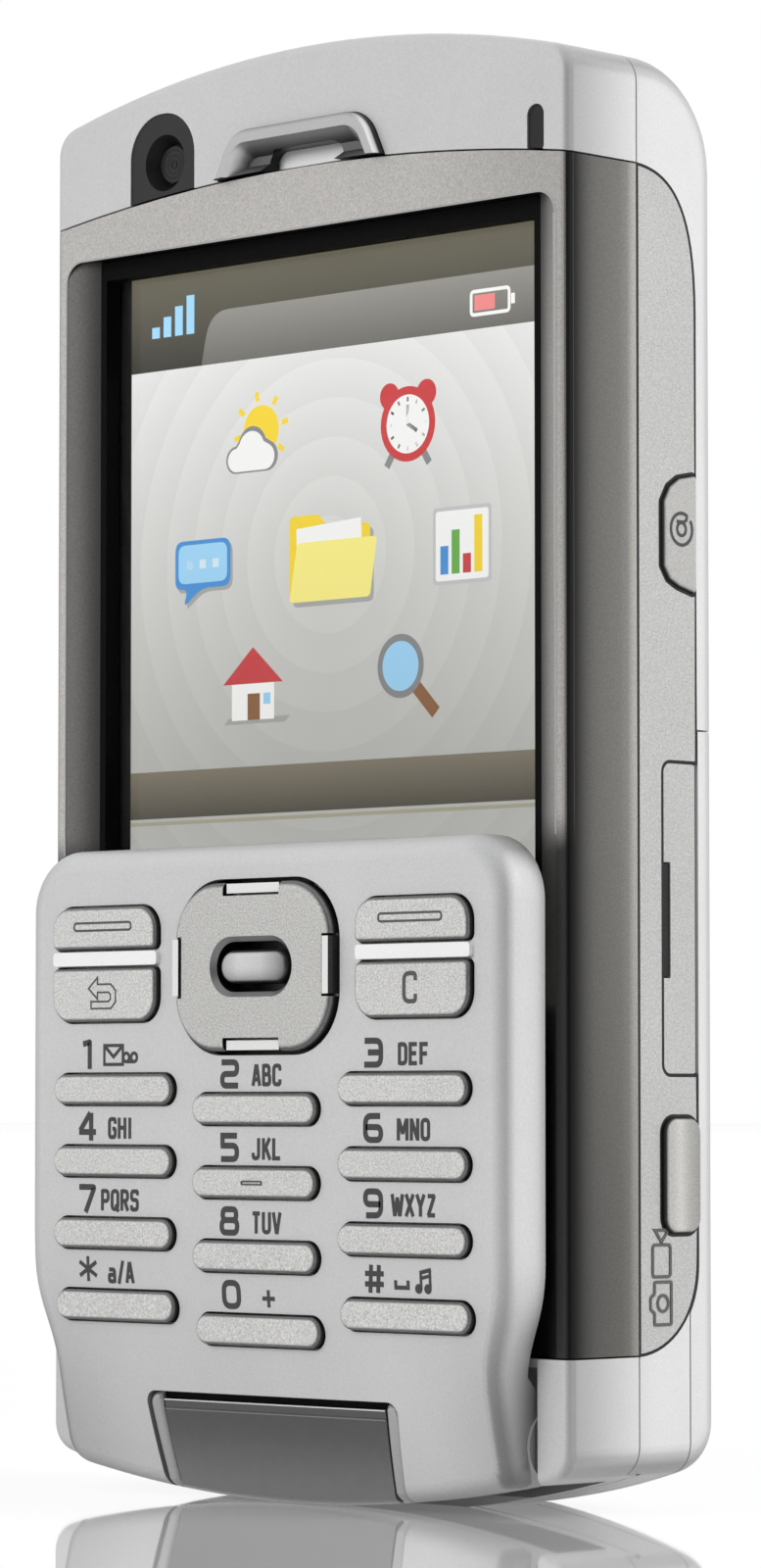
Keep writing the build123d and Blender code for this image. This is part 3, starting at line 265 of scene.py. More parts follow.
def ear_tone(look):
    """Bright rim, a bowl of painted shade and outer walls black with painted shade."""
    skin = look.ramp(look.front, (0.0, 0.012), (0.3, 0.03), (0.45, 0.22), (0.65, (0.34, 0.34, 0.341)),
                     (0.85, (0.4, 0.4, 0.402)), (1.0, (0.5, 0.5, 0.503)))
    # Painted shade deeper in the bowl, and painted light on the slopes that face sideways
    depth = look.run("Y", -7.6, -6.4, 1.0, 0.25, False)
    ends = look.span(look.turn, 0.15, 0.5, 1.0, 2.2)
    return look.scaled(skin, look.math("MULTIPLY", depth, ends))


def bezel_tone(look):
    """Warm graphite with painted light and shade: pale on the front, dark where the frame turns and in its
    recess.
    """
    skin = look.ramp(look.turn, (0.0, (0.5, 0.484, 0.467)), (0.25, (0.4, 0.385, 0.37)),
                     (0.447, (0.3, 0.288, 0.276)), (0.6, (0.012, 0.012, 0.0115)), (0.95, 0.004),
                     (1.0, (0.4, 0.391, 0.365)))
    # Front face, dimmer to the right: painted shade
    front = look.span(look.way["Y"], -0.6, -0.85)
    across = {0: front, 2: 1.0, 3: look.run("X", 12.0, 28.0, 1.0, 0.8)}
    skin = look.scaled(skin, look.add("Mix", across, data_type="FLOAT").outputs[0])
    # Slopes of the recess, darker at their foot and on the left, black beside the closed flip: all painted
    # shade
    slope = look.math("COMPARE", look.turn, 0.447, 0.03)
    dimmed = look.scaled(skin, look.run("Y", -6.9, -5.6, 1.35, 0.3))
    darker = look.scaled(dimmed, look.span(look.way["X"], 0.3, 0.42, 1.0, 0.42))
    inner = look.scaled(look.mixed(slope, skin, darker), look.run("Z", 49.5, 53.0, 0.06))
    # Outer sides, with painted reflection and shade: dark at the front edge, a painted highlight at the rear
    # rim, dimmer towards the foot
    rear = look.ramp(look.run("Y", -6.6, 0.6, smooth=False), (0.0, 0.015), (0.07, 0.02), (0.2, 0.17),
                     (0.32, 0.275), (0.44, 0.325), (0.73, 0.4), (0.86, 0.52), (0.94, 0.9), (1.0, 1.0))
    fading = look.scaled(rear, look.run("Z", 12.0, 62.0, 0.66))
    shaded = look.add("VectorMath", {0: skin, 1: fading}, operation="MULTIPLY").outputs[0]
    sided = look.mixed(look.span(look.turn, 0.9, 0.99, smooth=False), inner, shaded)
    # Faces that look down are near black: painted shade
    return look.mixed(look.span(look.way["Z"], -0.4, -0.9), sided, 0.008)


# Materials


def paint(name, colour, metal, rough, grain, depth=1.2e-5, shine=0.5):
    """Sprayed metallic paint of one colour or of a tone's colours."""
    look = Look(name)
    speck = look.noise(SPECK_SCALE, 1 - grain, 1 + grain)
    cloud = look.noise(CLOUD_SCALE, 0.975, 1.025, 3.0)
    colour = colour(look) if callable(colour) else rgb(colour)
    base = look.scaled(colour, look.math("MULTIPLY", speck, cloud))
    return look.set(base, look.noise(SHEEN_SCALE, rough - 0.04, rough + 0.05), shine, metallic=metal,
                    normal=look.bump(look.noise(SKIN_SCALE, 0, 1), 0.25, depth))


def moulding(name, colour, rough, scale=3200, depth=2e-5, metal=0.0, vary=0.12, shine=0.5):
    """Moulded plastic, rubber or plain metal with a fine skin."""
    look = Look(name)
    fine = look.noise(scale, 1 - vary, 1 + vary, 3.0)
    return look.set(look.scaled(rgb(colour), fine), look.noise(scale / 3, rough - 0.05, rough + 0.06), shine,
                    metallic=metal, normal=look.bump(fine, 0.3, depth))


def glossy_tile(name, colour, pale, z0, z1):
    """Polished lacquer with a painted reflection that turns it paler towards its foot."""
    look = Look(name)
    tone = look.mixed(look.run("Z", z0, z1), pale, colour)
    return look.set(look.scaled(tone, look.noise(900, 0.96, 1.04)), look.noise(250, 0.12, 0.2), metallic=0.2,
                    coat_weight=0.3, coat_roughness=0.05)


def lens_glass(name, centre, tint, pitch=0.42):
    """Dark coated lens with the rings of its barrel showing."""
    look = Look(name)
    turns = look.math("MULTIPLY", look.away(centre), 2 * math.pi / (pitch * MM))
    rings = look.span(look.math("SINE", turns), -1.0, 1.0, 0.35, 1.5, False)
    return look.set(look.scaled(tint, rings), look.noise(800, 0.2, 0.3), 0.25)


def clear_glass(name):
    look = Look(name)
    look.feed(look.shader, {"IOR": 1.2})
    return look.set(look.scaled((0.985, 0.99, 0.99), look.noise(60, 0.985, 1.0)),
                    look.noise(90, 0.0, 0.008, 4.0), 0.2, transmission_weight=1.0)


def display(name, low, high, z0, z1, rings=0.0):
    """Lit picture on the screen: a colour that runs from low to high up the screen."""
    look = Look(name)
    pixel = look.noise(2500, 0.994, 1.006)
    if rings:
        turns = look.math("MULTIPLY", look.away((0, LCD_Y, RING_CENTRE_Z)), 1 / (RING_PITCH * MM))
        steps = look.span(look.math("FRACT", turns), 0.0, 1.0, 1 - rings, 1 + rings, False)
        inside = look.math("LESS_THAN", look.math("ABSOLUTE", look.at["X"]), LIT_HALF * MM)
        pixel = look.math("MULTIPLY", look.math("MULTIPLY", pixel, steps), inside)
    tone = look.mixed(look.run("Z", z0, z1, smooth=False), low, high)
    return look.set(0.02, 0.5, 0.0, emission_color=look.scaled(tone, pixel), emission_strength=1.0)


def circuit(name, colour):
    """Solder mask with paler tracks."""
    look = Look(name)
    cells = look.add("TexVoronoi", {}, distance="MANHATTAN", feature="DISTANCE_TO_EDGE")
    look.feed(cells, {"Vector": look.spot, "Scale": 900.0})
    tracks = look.span(cells.outputs["Distance"], 0.0, 0.12, smooth=False)
    tone = look.mixed(tracks, tuple(value * 2.4 for value in colour), colour)
    return look.set(tone, look.noise(700, 0.3, 0.5))


SILVER = paint("silver_paint", silver_tone, 0.28, 0.42, 0.06)
FLIP_SILVER = paint("flip_paint", flip_tone, 0.14, 0.42, 0.06)
GRAPHITE = paint("graphite_paint", bezel_tone, 0.5, 0.38, 0.18)
PANEL = paint("side_paint", (0.46, 0.457, 0.447), 0.3, 0.42, 0.22)
KEY_PAINT = paint("key_paint", bevelled_tone((0.65, 0.645, 0.63)), 0.25, 0.42, 0.3)
NAV_PAINT = paint("nav_paint", bevelled_tone((0.55, 0.545, 0.53)), 0.3, 0.42, 0.3)
SELECT_PAINT = paint("select_paint", select_tone, 0.4, 0.3, 0.02, 5e-7)
SIDE_KEY_PAINT = paint("side_key_paint", side_key_tone((0.42, 0.415, 0.404), 0.015), 0.3, 0.42, 0.16)
SHUTTER_PAINT = paint("shutter_paint", shutter_tone, 0.3, 0.42, 0.16)
RELIEF_PAINT = paint("relief_paint", (0.1, 0.099, 0.095), 0.3, 0.42, 0.16)
CHROME = paint("bright_trim", (0.7, 0.7, 0.705), 0.85, 0.22, 0.02, 4e-6)
EAR_TRIM = paint("ear_trim", ear_tone, 0.6, 0.32, 0.02, 4e-7)
# Painted highlight for the edge of the screen recess
EDGE_HIGHLIGHT = paint("edge_highlight", (0.4, 0.39, 0.38), 0.4, 0.4, 0.05)
RAIL = paint("rail_silver", (0.4, 0.4, 0.402), 0.5, 0.34, 0.05)
# A darker copy of the rail silver, used as painted shade
SHADE_RAIL = paint("shade_silver", (0.2, 0.2, 0.201), 0.4, 0.34, 0.05)
GUIDE = paint("light_guide", key_tone((0.86, 0.86, 0.85), 0.03), 0.0, 0.3, 0.01, 5e-7)
LAMP = paint("lamp_lens", 0.7, 0.1, 0.2, 0.02, 5e-7)
STRIP = paint("pale_strip", 0.97, 0.0, 0.3, 0.01, 4e-6)
BLACK = moulding("black_plastic", (0.010, 0.010, 0.0105), 0.45, shine=0.3)
WELL = moulding("screen_well", 0.003, 0.6, shine=0.06)
SURROUND = paint("camera_plate", key_tone((0.03, 0.03, 0.0305), 0.004), 0.0, 0.5, 0.1, 4e-6, 0.2)
CHARCOAL = moulding("charcoal_plastic", (0.014, 0.014, 0.0145), 0.5, shine=0.15)
RUBBER = moulding("key_rubber", (0.09, 0.095, 0.1), 0.55)
BADGE = glossy_tile("badge_lacquer", 0.062, (0.175, 0.174, 0.172), 0.2, 6.8)
FRONT_LENS = lens_glass("front_lens", (FRONT_LENS_AT[0], -5.9, FRONT_LENS_AT[1]), (0.013, 0.013, 0.0135))
BACK_LENS = lens_glass("back_lens", (REAR_LENS_AT[0], 11.8, REAR_LENS_AT[1]), (0.012, 0.014, 0.022))
GLASS = clear_glass("screen_glass")
STEEL = moulding("turned_steel", (0.5, 0.5, 0.51), 0.3, 1500, 6e-6, 1.0, 0.08)
GOLD = moulding("gold_contact", (0.75, 0.53, 0.2), 0.25, 1800, 4e-6, 1.0, 0.08)
BOARD_GREEN = circuit("circuit_board", (0.02, 0.075, 0.04))
# Black board under the keys, so that the gaps between the keys show painted shade
BOARD_SHADE = circuit("key_board_shade", (0.006, 0.006, 0.006))
CELL = moulding("battery_case", (0.26, 0.27, 0.28), 0.4)
PRINT = moulding("print", (0.065, 0.065, 0.066), 0.5, 4000, 4e-6, shine=0.2)
ENGRAVED = moulding("engraved_mark", 0.1, 0.5, 4000, 4e-6, shine=0.2)
PALE_PRINT = moulding("pale_print", (0.75, 0.75, 0.76), 0.5, 4000, 4e-6)
FIELD = display("screen_field", (0.40, 0.40, 0.375), (0.80, 0.80, 0.78), FIELD_Z, HEADER_Z, 0.035)

# Looks of the CAD nodes. The keys of the flip, which aren't listed, wear the key paint.
LOOKS = {
    "bezel_frame": GRAPHITE, "top_cap": SILVER, "chin_block": SILVER, "rear_housing": SILVER,
    "flip_cover": FLIP_SILVER, "battery_cover": SILVER, "side_panel_right": PANEL, "side_panel_left": PANEL,
    "card_door": PANEL, "web_key": SIDE_KEY_PAINT, "shutter_key": SHUTTER_PAINT,
    "side_back_key": SIDE_KEY_PAINT, "power_key": PANEL, "screen_gasket": WELL,
    "touch_screen": GLASS, "lcd_module": FIELD, "main_board": BOARD_GREEN, "battery": CELL,
    "memory_card": CHARCOAL, "front_camera_surround": SURROUND, "front_camera_lens": FRONT_LENS,
    "earpiece_trim": EAR_TRIM, "earpiece_capsule": STRIP, "sensor_window": BLACK,
    "rear_camera_bezel": CHROME, "rear_camera_lens": BACK_LENS, "photo_light": CHROME,
    "loudspeaker": BLACK, "keyboard_keys": RUBBER, "system_connector": BLACK, "hinge_pins": STEEL,
    "vibration_motor": STEEL, "vibration_weight": STEEL, "flip_inner_cover": CHARCOAL,
    "keypad_board": BOARD_SHADE, "soft_key_strips": STRIP, "hinge_badge": BADGE, "badge_frame": RAIL,
    "jog_dial": CHARCOAL, "stylus": CHARCOAL, "nav_light_guide": GUIDE, "nav_pad": NAV_PAINT,
    "select_key": SELECT_PAINT,
}
for name, piece in NODES.items():
    piece.data.materials.clear()
    piece.data.materials.append(LOOKS.get(name, KEY_PAINT))


def on_bevel(face):
    """Bevel around the select key's opening in the navigation pad, which wears the darker silver as painted
    shade.
    """
    x, _, z = face.center / MM
    return abs(x) < 4.7 and abs(z - NAV_Z) < 2.5 and -0.9 < face.normal.y < -0.4


def above_badge(face):
    """Part of the badge frame above the tile, between the side trims, which is coloured black as painted
    shade.
    """
    x, _, z = face.center / MM
    return z > 6.9 and abs(x) < 12.35


for name, look, chosen in (("nav_pad", SHADE_RAIL, on_bevel), ("badge_frame", WELL, above_badge)):
    data = NODES[name].data
    data.materials.append(look)
    for face in data.polygons:
        if chosen(face):
            face.material_index = 1


# Mesh helpers. Shapes are drawn flat as (u, v) in mm with a height w, then laid on the phone.


def on_flip(x, z):
    def lay(u, v, w):
        height = z + v
        y = FLIP_FACE_Y
        if height < FLIP_BEND_Z:
            y += FLIP_BEND_R - math.sqrt(FLIP_BEND_R ** 2 - (FLIP_BEND_Z - height) ** 2)
        return (x + u, y - w, height)
    return lay


def on_front(x, y, z):
    return lambda u, v, w: (x + u, y - w, z + v)


def on_side(x, y, z):
    return lambda u, v, w: (x + w, y - v, z + u)


class Shape:
    """Collects closed forms and makes one mesh of them."""

    def __init__(self):
        self.mesh = bmesh.new()

    def vertex(self, spot):
        return self.mesh.verts.new(Vector(spot) * MM)

    def prism(self, outline, lay, low, high, index=0):
        """A flat outline, raised from low to high."""
        bottom = [self.vertex(lay(u, v, low)) for u, v in outline]
        top = [self.vertex(lay(u, v, high)) for u, v in outline]
        faces = [self.mesh.faces.new(top), self.mesh.faces.new(bottom[::-1])]
        count = len(outline)
        for i in range(count):
            j = (i + 1) % count
            faces.append(self.mesh.faces.new((bottom[i], bottom[j], top[j], top[i])))
        for face in faces:
            face.material_index = index

    def ribbon(self, points, half, lay, low, high, closed=False, index=0):
        """A line with a half width, raised from low to high."""
        count = len(points)
        rails = []
        for i, point in enumerate(points):
            here = Vector(point)
            ways = []
            if i or closed:
                ways.append((here - Vector(points[i - 1])).normalized())
            if i < count - 1 or closed:
                ways.append((Vector(points[(i + 1) % count]) - here).normalized())
            way = sum(ways, Vector((0, 0))).normalized()
            normal = Vector((-way.y, way.x))
            reach = half / max(MITRE_LIMIT, normal.dot(Vector((-ways[0].y, ways[0].x))))
            left, right = here + normal * reach, here - normal * reach
            rails.append([self.vertex(lay(*side, level)) for side in (left, right) for level in (low, high)])
        faces = []
        for i in range(count if closed else count - 1):
            a, b = rails[i], rails[(i + 1) % count]
            faces += [(a[1], a[3], b[3], b[1]), (a[0], b[0], b[2], a[2]), (a[0], a[1], b[1], b[0]),
                      (a[2], b[2], b[3], a[3])]
        if not closed:
            first, last = rails[0], rails[-1]
            faces += [(first[0], first[2], first[3], first[1]), (last[0], last[1], last[3], last[2])]
        for corners in faces:
            self.mesh.faces.new(corners).material_index = index

    def lathe(self, profile, centre, loop=False):
        """Turns a profile of (radius, y) about the Y axis through centre (x, z)."""
        rings = []
        for radius, y in profile:
            angles = [2 * math.pi * i / TURN_STEPS for i in range(TURN_STEPS if radius else 1)]
            rings.append([self.vertex((centre[0] + radius * math.cos(angle), y,
                                       centre[1] + radius * math.sin(angle))) for angle in angles])
        for first, second in zip(rings, rings[1:] + rings[:1] if loop else rings[1:]):
            for i in range(TURN_STEPS):
                j = (i + 1) % TURN_STEPS
                corners = [first[i % len(first)], first[j % len(first)],
                           second[j % len(second)], second[i % len(second)]]
                self.mesh.faces.new(list(dict.fromkeys(corners))).smooth = True

    def done(self, name, body, looks, slot):
        bmesh.ops.recalc_face_normals(self.mesh, faces=self.mesh.faces)
        data = bpy.data.meshes.new(name)
        self.mesh.to_mesh(data)
        self.mesh.free()
        for look in looks:
            data.materials.append(look)
        piece = bpy.data.objects.new(name, data)
        bpy.context.scene.collection.objects.link(piece)
        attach(piece, body)


def rounded(points, radius, closed=False):
    """Polyline with its corners rounded."""
    made = []
    count = len(points)
    for i, point in enumerate(points):
        if not closed and i in (0, count - 1):
            made.append(point)
            continue
        here = Vector(point)
        before, after = Vector(points[i - 1]), Vector(points[(i + 1) % count])
        cut = min(radius, (before - here).length * CORNER_SHARE, (after - here).length * CORNER_SHARE)
        start = here + (before - here).normalized() * cut
        end = here + (after - here).normalized() * cut
        for step in range(CORNER_STEPS + 1):
            t = step / CORNER_STEPS
            spot = start * (1 - t) ** 2 + here * 2 * t * (1 - t) + end * t ** 2
            made.append((spot.x, spot.y))
    return made


def circle(x, z, radius, count=36, start=0.0, sweep=360.0):
    """Points of a full circle, or of an arc with both its ends."""
    made = []
    for i in range(count if sweep == 360.0 else count + 1):
        angle = math.radians(start + sweep * i / count)
        made.append((x + radius * math.cos(angle), z + radius * math.sin(angle)))
    return made


def box_points(x0, z0, x1, z1):
    return [(x0, z0), (x1, z0), (x1, z1), (x0, z1)]


def soft_box(x0, z0, x1, z1, radius):
    return rounded(box_points(x0, z0, x1, z1), radius, True)


# Signs and letters: strokes in a unit box, with the corner radius of each stroke

LEFT_BAR = ([(0.08, 0.0), (0.08, 1.0)], 0)
RIGHT_BAR = ([(0.92, 0.0), (0.92, 1.0)], 0)
LOW_DOT = ([(0.35, 0.06), (0.65, 0.06)], 0)
ROUND = ([(0.08, 0.07), (0.92, 0.07), (0.92, 0.93), (0.08, 0.93)], 0.35)
STROKES = {
    "1": [([(0.22, 0.9), (0.62, 0.97), (0.62, 0.0)], 0.02)],
    "2": [([(0.04, 0.91), (0.92, 0.91), (0.92, 0.5), (0.08, 0.5), (0.08, 0.09), (0.98, 0.09)], 0.2)],
    "3": [([(0.04, 0.91), (0.92, 0.91), (0.92, 0.09), (0.02, 0.09)], 0.22),
          ([(0.22, 0.51), (0.92, 0.51)], 0)],
    "4": [([(0.66, 1.0), (0.06, 0.36)], 0), ([(0.0, 0.31), (1.0, 0.31)], 0), ([(0.72, 1.0), (0.72, 0.0)], 0)],
    "5": [([(0.92, 0.91), (0.1, 0.91), (0.1, 0.56)], 0),
          ([(0.0, 0.56), (0.92, 0.56), (0.92, 0.09), (0.02, 0.09)], 0.2)],
    "6": [([(0.88, 0.91), (0.08, 0.91), (0.08, 0.09), (0.92, 0.09), (0.92, 0.53), (0.1, 0.53)], 0.24)],
    "7": [([(0.02, 0.91), (0.93, 0.91), (0.4, 0.0)], 0.08)],
    "8": [([(0.06, 0.09), (0.94, 0.09), (0.94, 0.53), (0.06, 0.53)], 0.24),
          ([(0.12, 0.53), (0.88, 0.53), (0.88, 0.91), (0.12, 0.91)], 0.24)],
    "9": [([(0.12, 0.09), (0.92, 0.09), (0.92, 0.91), (0.08, 0.91), (0.08, 0.47), (0.9, 0.47)], 0.24)],
    "0": [([(0.08, 0.09), (0.92, 0.09), (0.92, 0.91), (0.08, 0.91)], 0.26)],
    "*": [([(0.5, 1.0), (0.5, 0.1)], 0), ([(0.0, 0.8), (1.0, 0.3)], 0), ([(0.0, 0.3), (1.0, 0.8)], 0)],
    "#": [([(0.36, 0.98), (0.26, 0.02)], 0), ([(0.78, 0.98), (0.68, 0.02)], 0),
          ([(0.02, 0.68), (1.02, 0.68)], 0), ([(0.0, 0.32), (1.0, 0.32)], 0)],
    "A": [([(0.04, 0.0), (0.46, 1.0)], 0), ([(0.54, 1.0), (0.96, 0.0)], 0), ([(0.18, 0.3), (0.82, 0.3)], 0)],
    "B": [LEFT_BAR, ([(0.08, 0.93), (0.84, 0.93), (0.84, 0.53), (0.08, 0.53)], 0.25),
          ([(0.08, 0.53), (0.92, 0.53), (0.92, 0.07), (0.08, 0.07)], 0.25)],
    "C": [([(0.92, 0.7), (0.92, 0.93), (0.08, 0.93), (0.08, 0.07), (0.92, 0.07), (0.92, 0.3)], 0.3)],
    "D": [LEFT_BAR, ([(0.08, 0.93), (0.92, 0.93), (0.92, 0.07), (0.08, 0.07)], 0.35)],
    "E": [([(0.95, 0.93), (0.08, 0.93), (0.08, 0.07), (0.95, 0.07)], 0), ([(0.08, 0.52), (0.85, 0.52)], 0)],
    "F": [([(0.95, 0.93), (0.08, 0.93), (0.08, 0.0)], 0), ([(0.08, 0.5), (0.85, 0.5)], 0)],
    "G": [([(0.92, 0.7), (0.92, 0.93), (0.08, 0.93), (0.08, 0.07), (0.92, 0.07), (0.92, 0.47),
            (0.52, 0.47)], 0.25)],
    "H": [LEFT_BAR, RIGHT_BAR, ([(0.08, 0.52), (0.92, 0.52)], 0)],
    "I": [([(0.5, 0.0), (0.5, 1.0)], 0)],
    "J": [([(0.82, 1.0), (0.82, 0.07), (0.08, 0.07), (0.08, 0.32)], 0.3)],
    "K": [LEFT_BAR, ([(0.95, 1.0), (0.16, 0.42)], 0), ([(0.36, 0.6), (1.0, 0.0)], 0)],
    "L": [([(0.08, 1.0), (0.08, 0.07), (0.95, 0.07)], 0)],
    "M": [([(0.06, 0.0), (0.06, 1.0)], 0), ([(0.94, 0.0), (0.94, 1.0)], 0), ([(0.1, 0.98), (0.5, 0.3)], 0),
          ([(0.5, 0.3), (0.9, 0.98)], 0)],
    "N": [LEFT_BAR, RIGHT_BAR, ([(0.1, 0.96), (0.9, 0.04)], 0)],
    "O": [ROUND],
    "P": [LEFT_BAR, ([(0.08, 0.93), (0.92, 0.93), (0.92, 0.45), (0.08, 0.45)], 0.3)],
    "Q": [ROUND, ([(0.6, 0.3), (1.0, -0.05)], 0)],
    "R": [LEFT_BAR, ([(0.08, 0.93), (0.9, 0.93), (0.9, 0.47), (0.08, 0.47)], 0.3),
          ([(0.5, 0.47), (0.96, 0.0)], 0)],
    "S": [([(0.92, 0.74), (0.92, 0.93), (0.08, 0.93), (0.08, 0.52), (0.92, 0.52), (0.92, 0.07), (0.08, 0.07),
            (0.08, 0.27)], 0.25)],
    "T": [([(0.0, 0.93), (1.0, 0.93)], 0), ([(0.5, 0.93), (0.5, 0.0)], 0)],
    "U": [([(0.08, 1.0), (0.08, 0.07), (0.92, 0.07), (0.92, 1.0)], 0.35)],
    "V": [([(0.04, 1.0), (0.47, 0.0)], 0), ([(0.53, 0.0), (0.96, 1.0)], 0)],
    "W": [([(0.02, 1.0), (0.26, 0.0)], 0), ([(0.28, 0.0), (0.5, 0.85)], 0), ([(0.5, 0.85), (0.72, 0.0)], 0),
          ([(0.74, 0.0), (0.98, 1.0)], 0)],
    "X": [([(0.03, 0.0), (0.97, 1.0)], 0), ([(0.03, 1.0), (0.97, 0.0)], 0)],
    "Y": [([(0.02, 1.0), (0.5, 0.46), (0.98, 1.0)], 0), ([(0.5, 0.5), (0.5, 0.0)], 0)],
    "Z": [([(0.03, 0.93), (0.97, 0.93)], 0), ([(0.9, 0.95), (0.1, 0.05)], 0),
          ([(0.03, 0.07), (0.97, 0.07)], 0)],
    "a": [([(0.1, 0.62), (0.86, 0.62), (0.86, 0.0)], 0.2),
          ([(0.86, 0.37), (0.1, 0.37), (0.1, 0.06), (0.86, 0.06)], 0.15)],
    "/": [([(0.05, -0.05), (0.95, 1.05)], 0)],
    "+": [([(0.0, 0.42), (1.0, 0.42)], 0), ([(0.5, 0.02), (0.5, 0.82)], 0)],
    ".": [([(0.35, 0.08), (0.65, 0.08)], 0)],
    ",": [([(0.58, 0.14), (0.36, -0.14)], 0)],
    "?": [([(0.1, 0.7), (0.1, 0.93), (0.9, 0.93), (0.9, 0.52), (0.5, 0.52), (0.5, 0.28)], 0.25), LOW_DOT],
    "!": [([(0.5, 1.0), (0.5, 0.3)], 0), LOW_DOT],
}
# How many of a sign's first strokes are closed loops, their rounding as a share of the width, and letter
# widths and spaces as a share of the height
CLOSED = {"0": 1, "8": 2, "O": 1, "Q": 1}
STROKE_ROUNDING = 1.3
LETTER_SHARE = {"M": 0.62, "W": 0.68, "I": 0.2, "/": 0.36, "+": 0.82}
PLAIN_SHARE = 0.48
LETTER_SPACE = 0.2


def draw_line(shape, points, half, lay, closed=False, level=0):
    """Printed line. Lines that cross lie on different levels, so their tops don't coincide."""
    shape.ribbon(points, half, lay, -PRINT_RISE, PRINT_RISE + STROKE_STEP * level, closed)


def draw_sign(shape, sign, lay, width=SIGN_WIDTH, height=SIGN_HEIGHT, half=SIGN_STROKE, middle=0.0):
    for number, (points, radius) in enumerate(STROKES[sign]):
        points = [(middle + (u - 0.5) * width, (v - 0.5) * height) for u, v in points]
        closed = number < CLOSED.get(sign, 0)
        if radius:
            points = rounded(points, radius * width * STROKE_ROUNDING, closed)
        draw_line(shape, points, half, lay, closed, number)


def draw_word(shape, word, height, half, lay):
    widths = [height * LETTER_SHARE.get(letter, PLAIN_SHARE) for letter in word]
    space = LETTER_SPACE * height
    spot = -(sum(widths) + space * (len(word) - 1)) / 2
    for letter, width in zip(word, widths):
        draw_sign(shape, letter, lay, width, height, half, spot + width / 2)
        spot += width + space


# Signs and letters on the flip, above the number keys
KEY_SIGNS = (
    (("1", ""), ("2", "ABC"), ("3", "DEF")),
    (("4", "GHI"), ("5", "JKL"), ("6", "MNO")),
    (("7", "PQRS"), ("8", "TUV"), ("9", "WXYZ")),
    (("*", "a/A"), ("0", "+"), ("#", "")),
)
signs = Shape()
for row, line in zip(KEY_ROWS, KEY_SIGNS):
    for column, (sign, word) in zip((-1, 0, 1), line):
        z = row + SIGN_LIFT - (KEY_DROP if column == 0 else 0)
        x = column * KEY_COLUMN
        draw_sign(signs, sign, on_flip(x + SIGN_X[column], z), half=THIN_STROKES.get(sign, SIGN_STROKE))
        draw_word(signs, word, LETTER_HEIGHT, LETTER_STROKE, on_flip(x + WORD_X[column], z - 0.1))
# Message sign beside 1, blank and tone signs beside the hash sign
lay = on_flip(-KEY_COLUMN, KEY_ROWS[0] + SIGN_LIFT)
draw_line(signs, box_points(-1.4, -0.75, 0.75, 0.75), 0.13, lay, True)
draw_line(signs, [(-1.35, 0.7), (-0.33, -0.15), (0.7, 0.7)], 0.14, lay, level=1)
for level, u in enumerate((1.15, 2.05), 1):
    draw_line(signs, circle(u, -0.2, 0.34, 20), 0.13, lay, True, level)
draw_line(signs, [(1.15, -0.55), (2.05, -0.55)], 0.12, lay, level=3)
lay = on_flip(KEY_COLUMN, KEY_ROWS[3] + SIGN_LIFT)
draw_line(signs, [(-1.15, -0.05), (-1.15, -0.6), (0.15, -0.6), (0.15, -0.05)], 0.16, lay)
for u in (1.25, 2.2):
    signs.prism(circle(u, -0.65, 0.38, 18), lay, -PRINT_RISE, PRINT_RISE)
    draw_line(signs, [(u + 0.26, -0.6), (u + 0.26, 0.65)], 0.13, lay, level=1)
draw_line(signs, [(1.4, 0.55), (2.58, 0.8)], 0.15, lay, level=2)
draw_line(signs, [(1.4, 0.12), (2.58, 0.37)], 0.13, lay, level=2)
signs.done("keypad_signs", "flip", [PRINT], "black_plastic")


def key_mark(key, points, half, lay, closed=True):
    mark = Shape()
    draw_line(mark, points, half, lay, closed)
    mark.done(key + "_mark", key, [ENGRAVED], "black_plastic")


# Marks on the soft, back and clear keys, and the ridge on the middle key
for side, name in ((-1, "soft_key_left"), (1, "soft_key_right")):
    lay = on_front(side * SOFT_KEY_X, KEY_TOP_Y, SOFT_KEY_Z)
    key_mark(name, soft_box(-3.3, -0.3, 3.3, 0.3, 0.28), 0.09, lay)
arrow = [(-1.6, 0.4), (-0.55, 1.25), (-0.55, 0.72), (1.0, 0.72), (1.55, 0.2), (1.55, -0.7), (1.0, -1.2),
         (-1.3, -1.2), (-1.3, -0.65), (0.75, -0.65), (0.95, -0.45), (0.95, -0.1), (0.75, 0.08), (-0.55, 0.08),
         (-0.55, -0.45)]
key_mark("key_back", arrow, 0.075, on_front(-SOFT_KEY_X, KEY_TOP_Y, LOWER_KEY_Z))
letter = [(0.6, 0.5), (0.6, 1.05), (-0.6, 1.05), (-0.6, -1.05), (0.6, -1.05), (0.6, -0.5)]
key_mark("key_clear", rounded(letter, 0.55), 0.17, on_front(SOFT_KEY_X, KEY_TOP_Y, LOWER_KEY_Z), False)
ridge = Shape()
lay = on_front(0.0, KEY_TOP_Y, KEY_ROWS[1] - KEY_DROP)
ridge.ribbon(soft_box(-1.1, -0.12, 1.1, 0.12, 0.11), 0.06, lay, -SUNK, 0.07, True)
ridge.done("key_5_ridge", "key_5", [ENGRAVED], "black_plastic")

# Bright and dark lines along the badge's upper edge; the dark line is painted shade
line = Shape()
line.prism(box_points(-12.15, -0.02, 12.15, 0.55), on_flip(0.0, 7.12), -0.72, -0.36, 1)
line.ribbon([(-12.15, 0.0), (12.15, 0.0)], 0.05, on_flip(0.0, 7.72), -0.72, -0.3)
line.ribbon([(-12.1, 0.0), (12.1, 0.0)], 0.05, on_flip(0.0, 6.98), -0.4, -0.285, index=2)
line.done("badge_line", "flip", [CHROME, BADGE, SHADE_RAIL], "bright_trim")

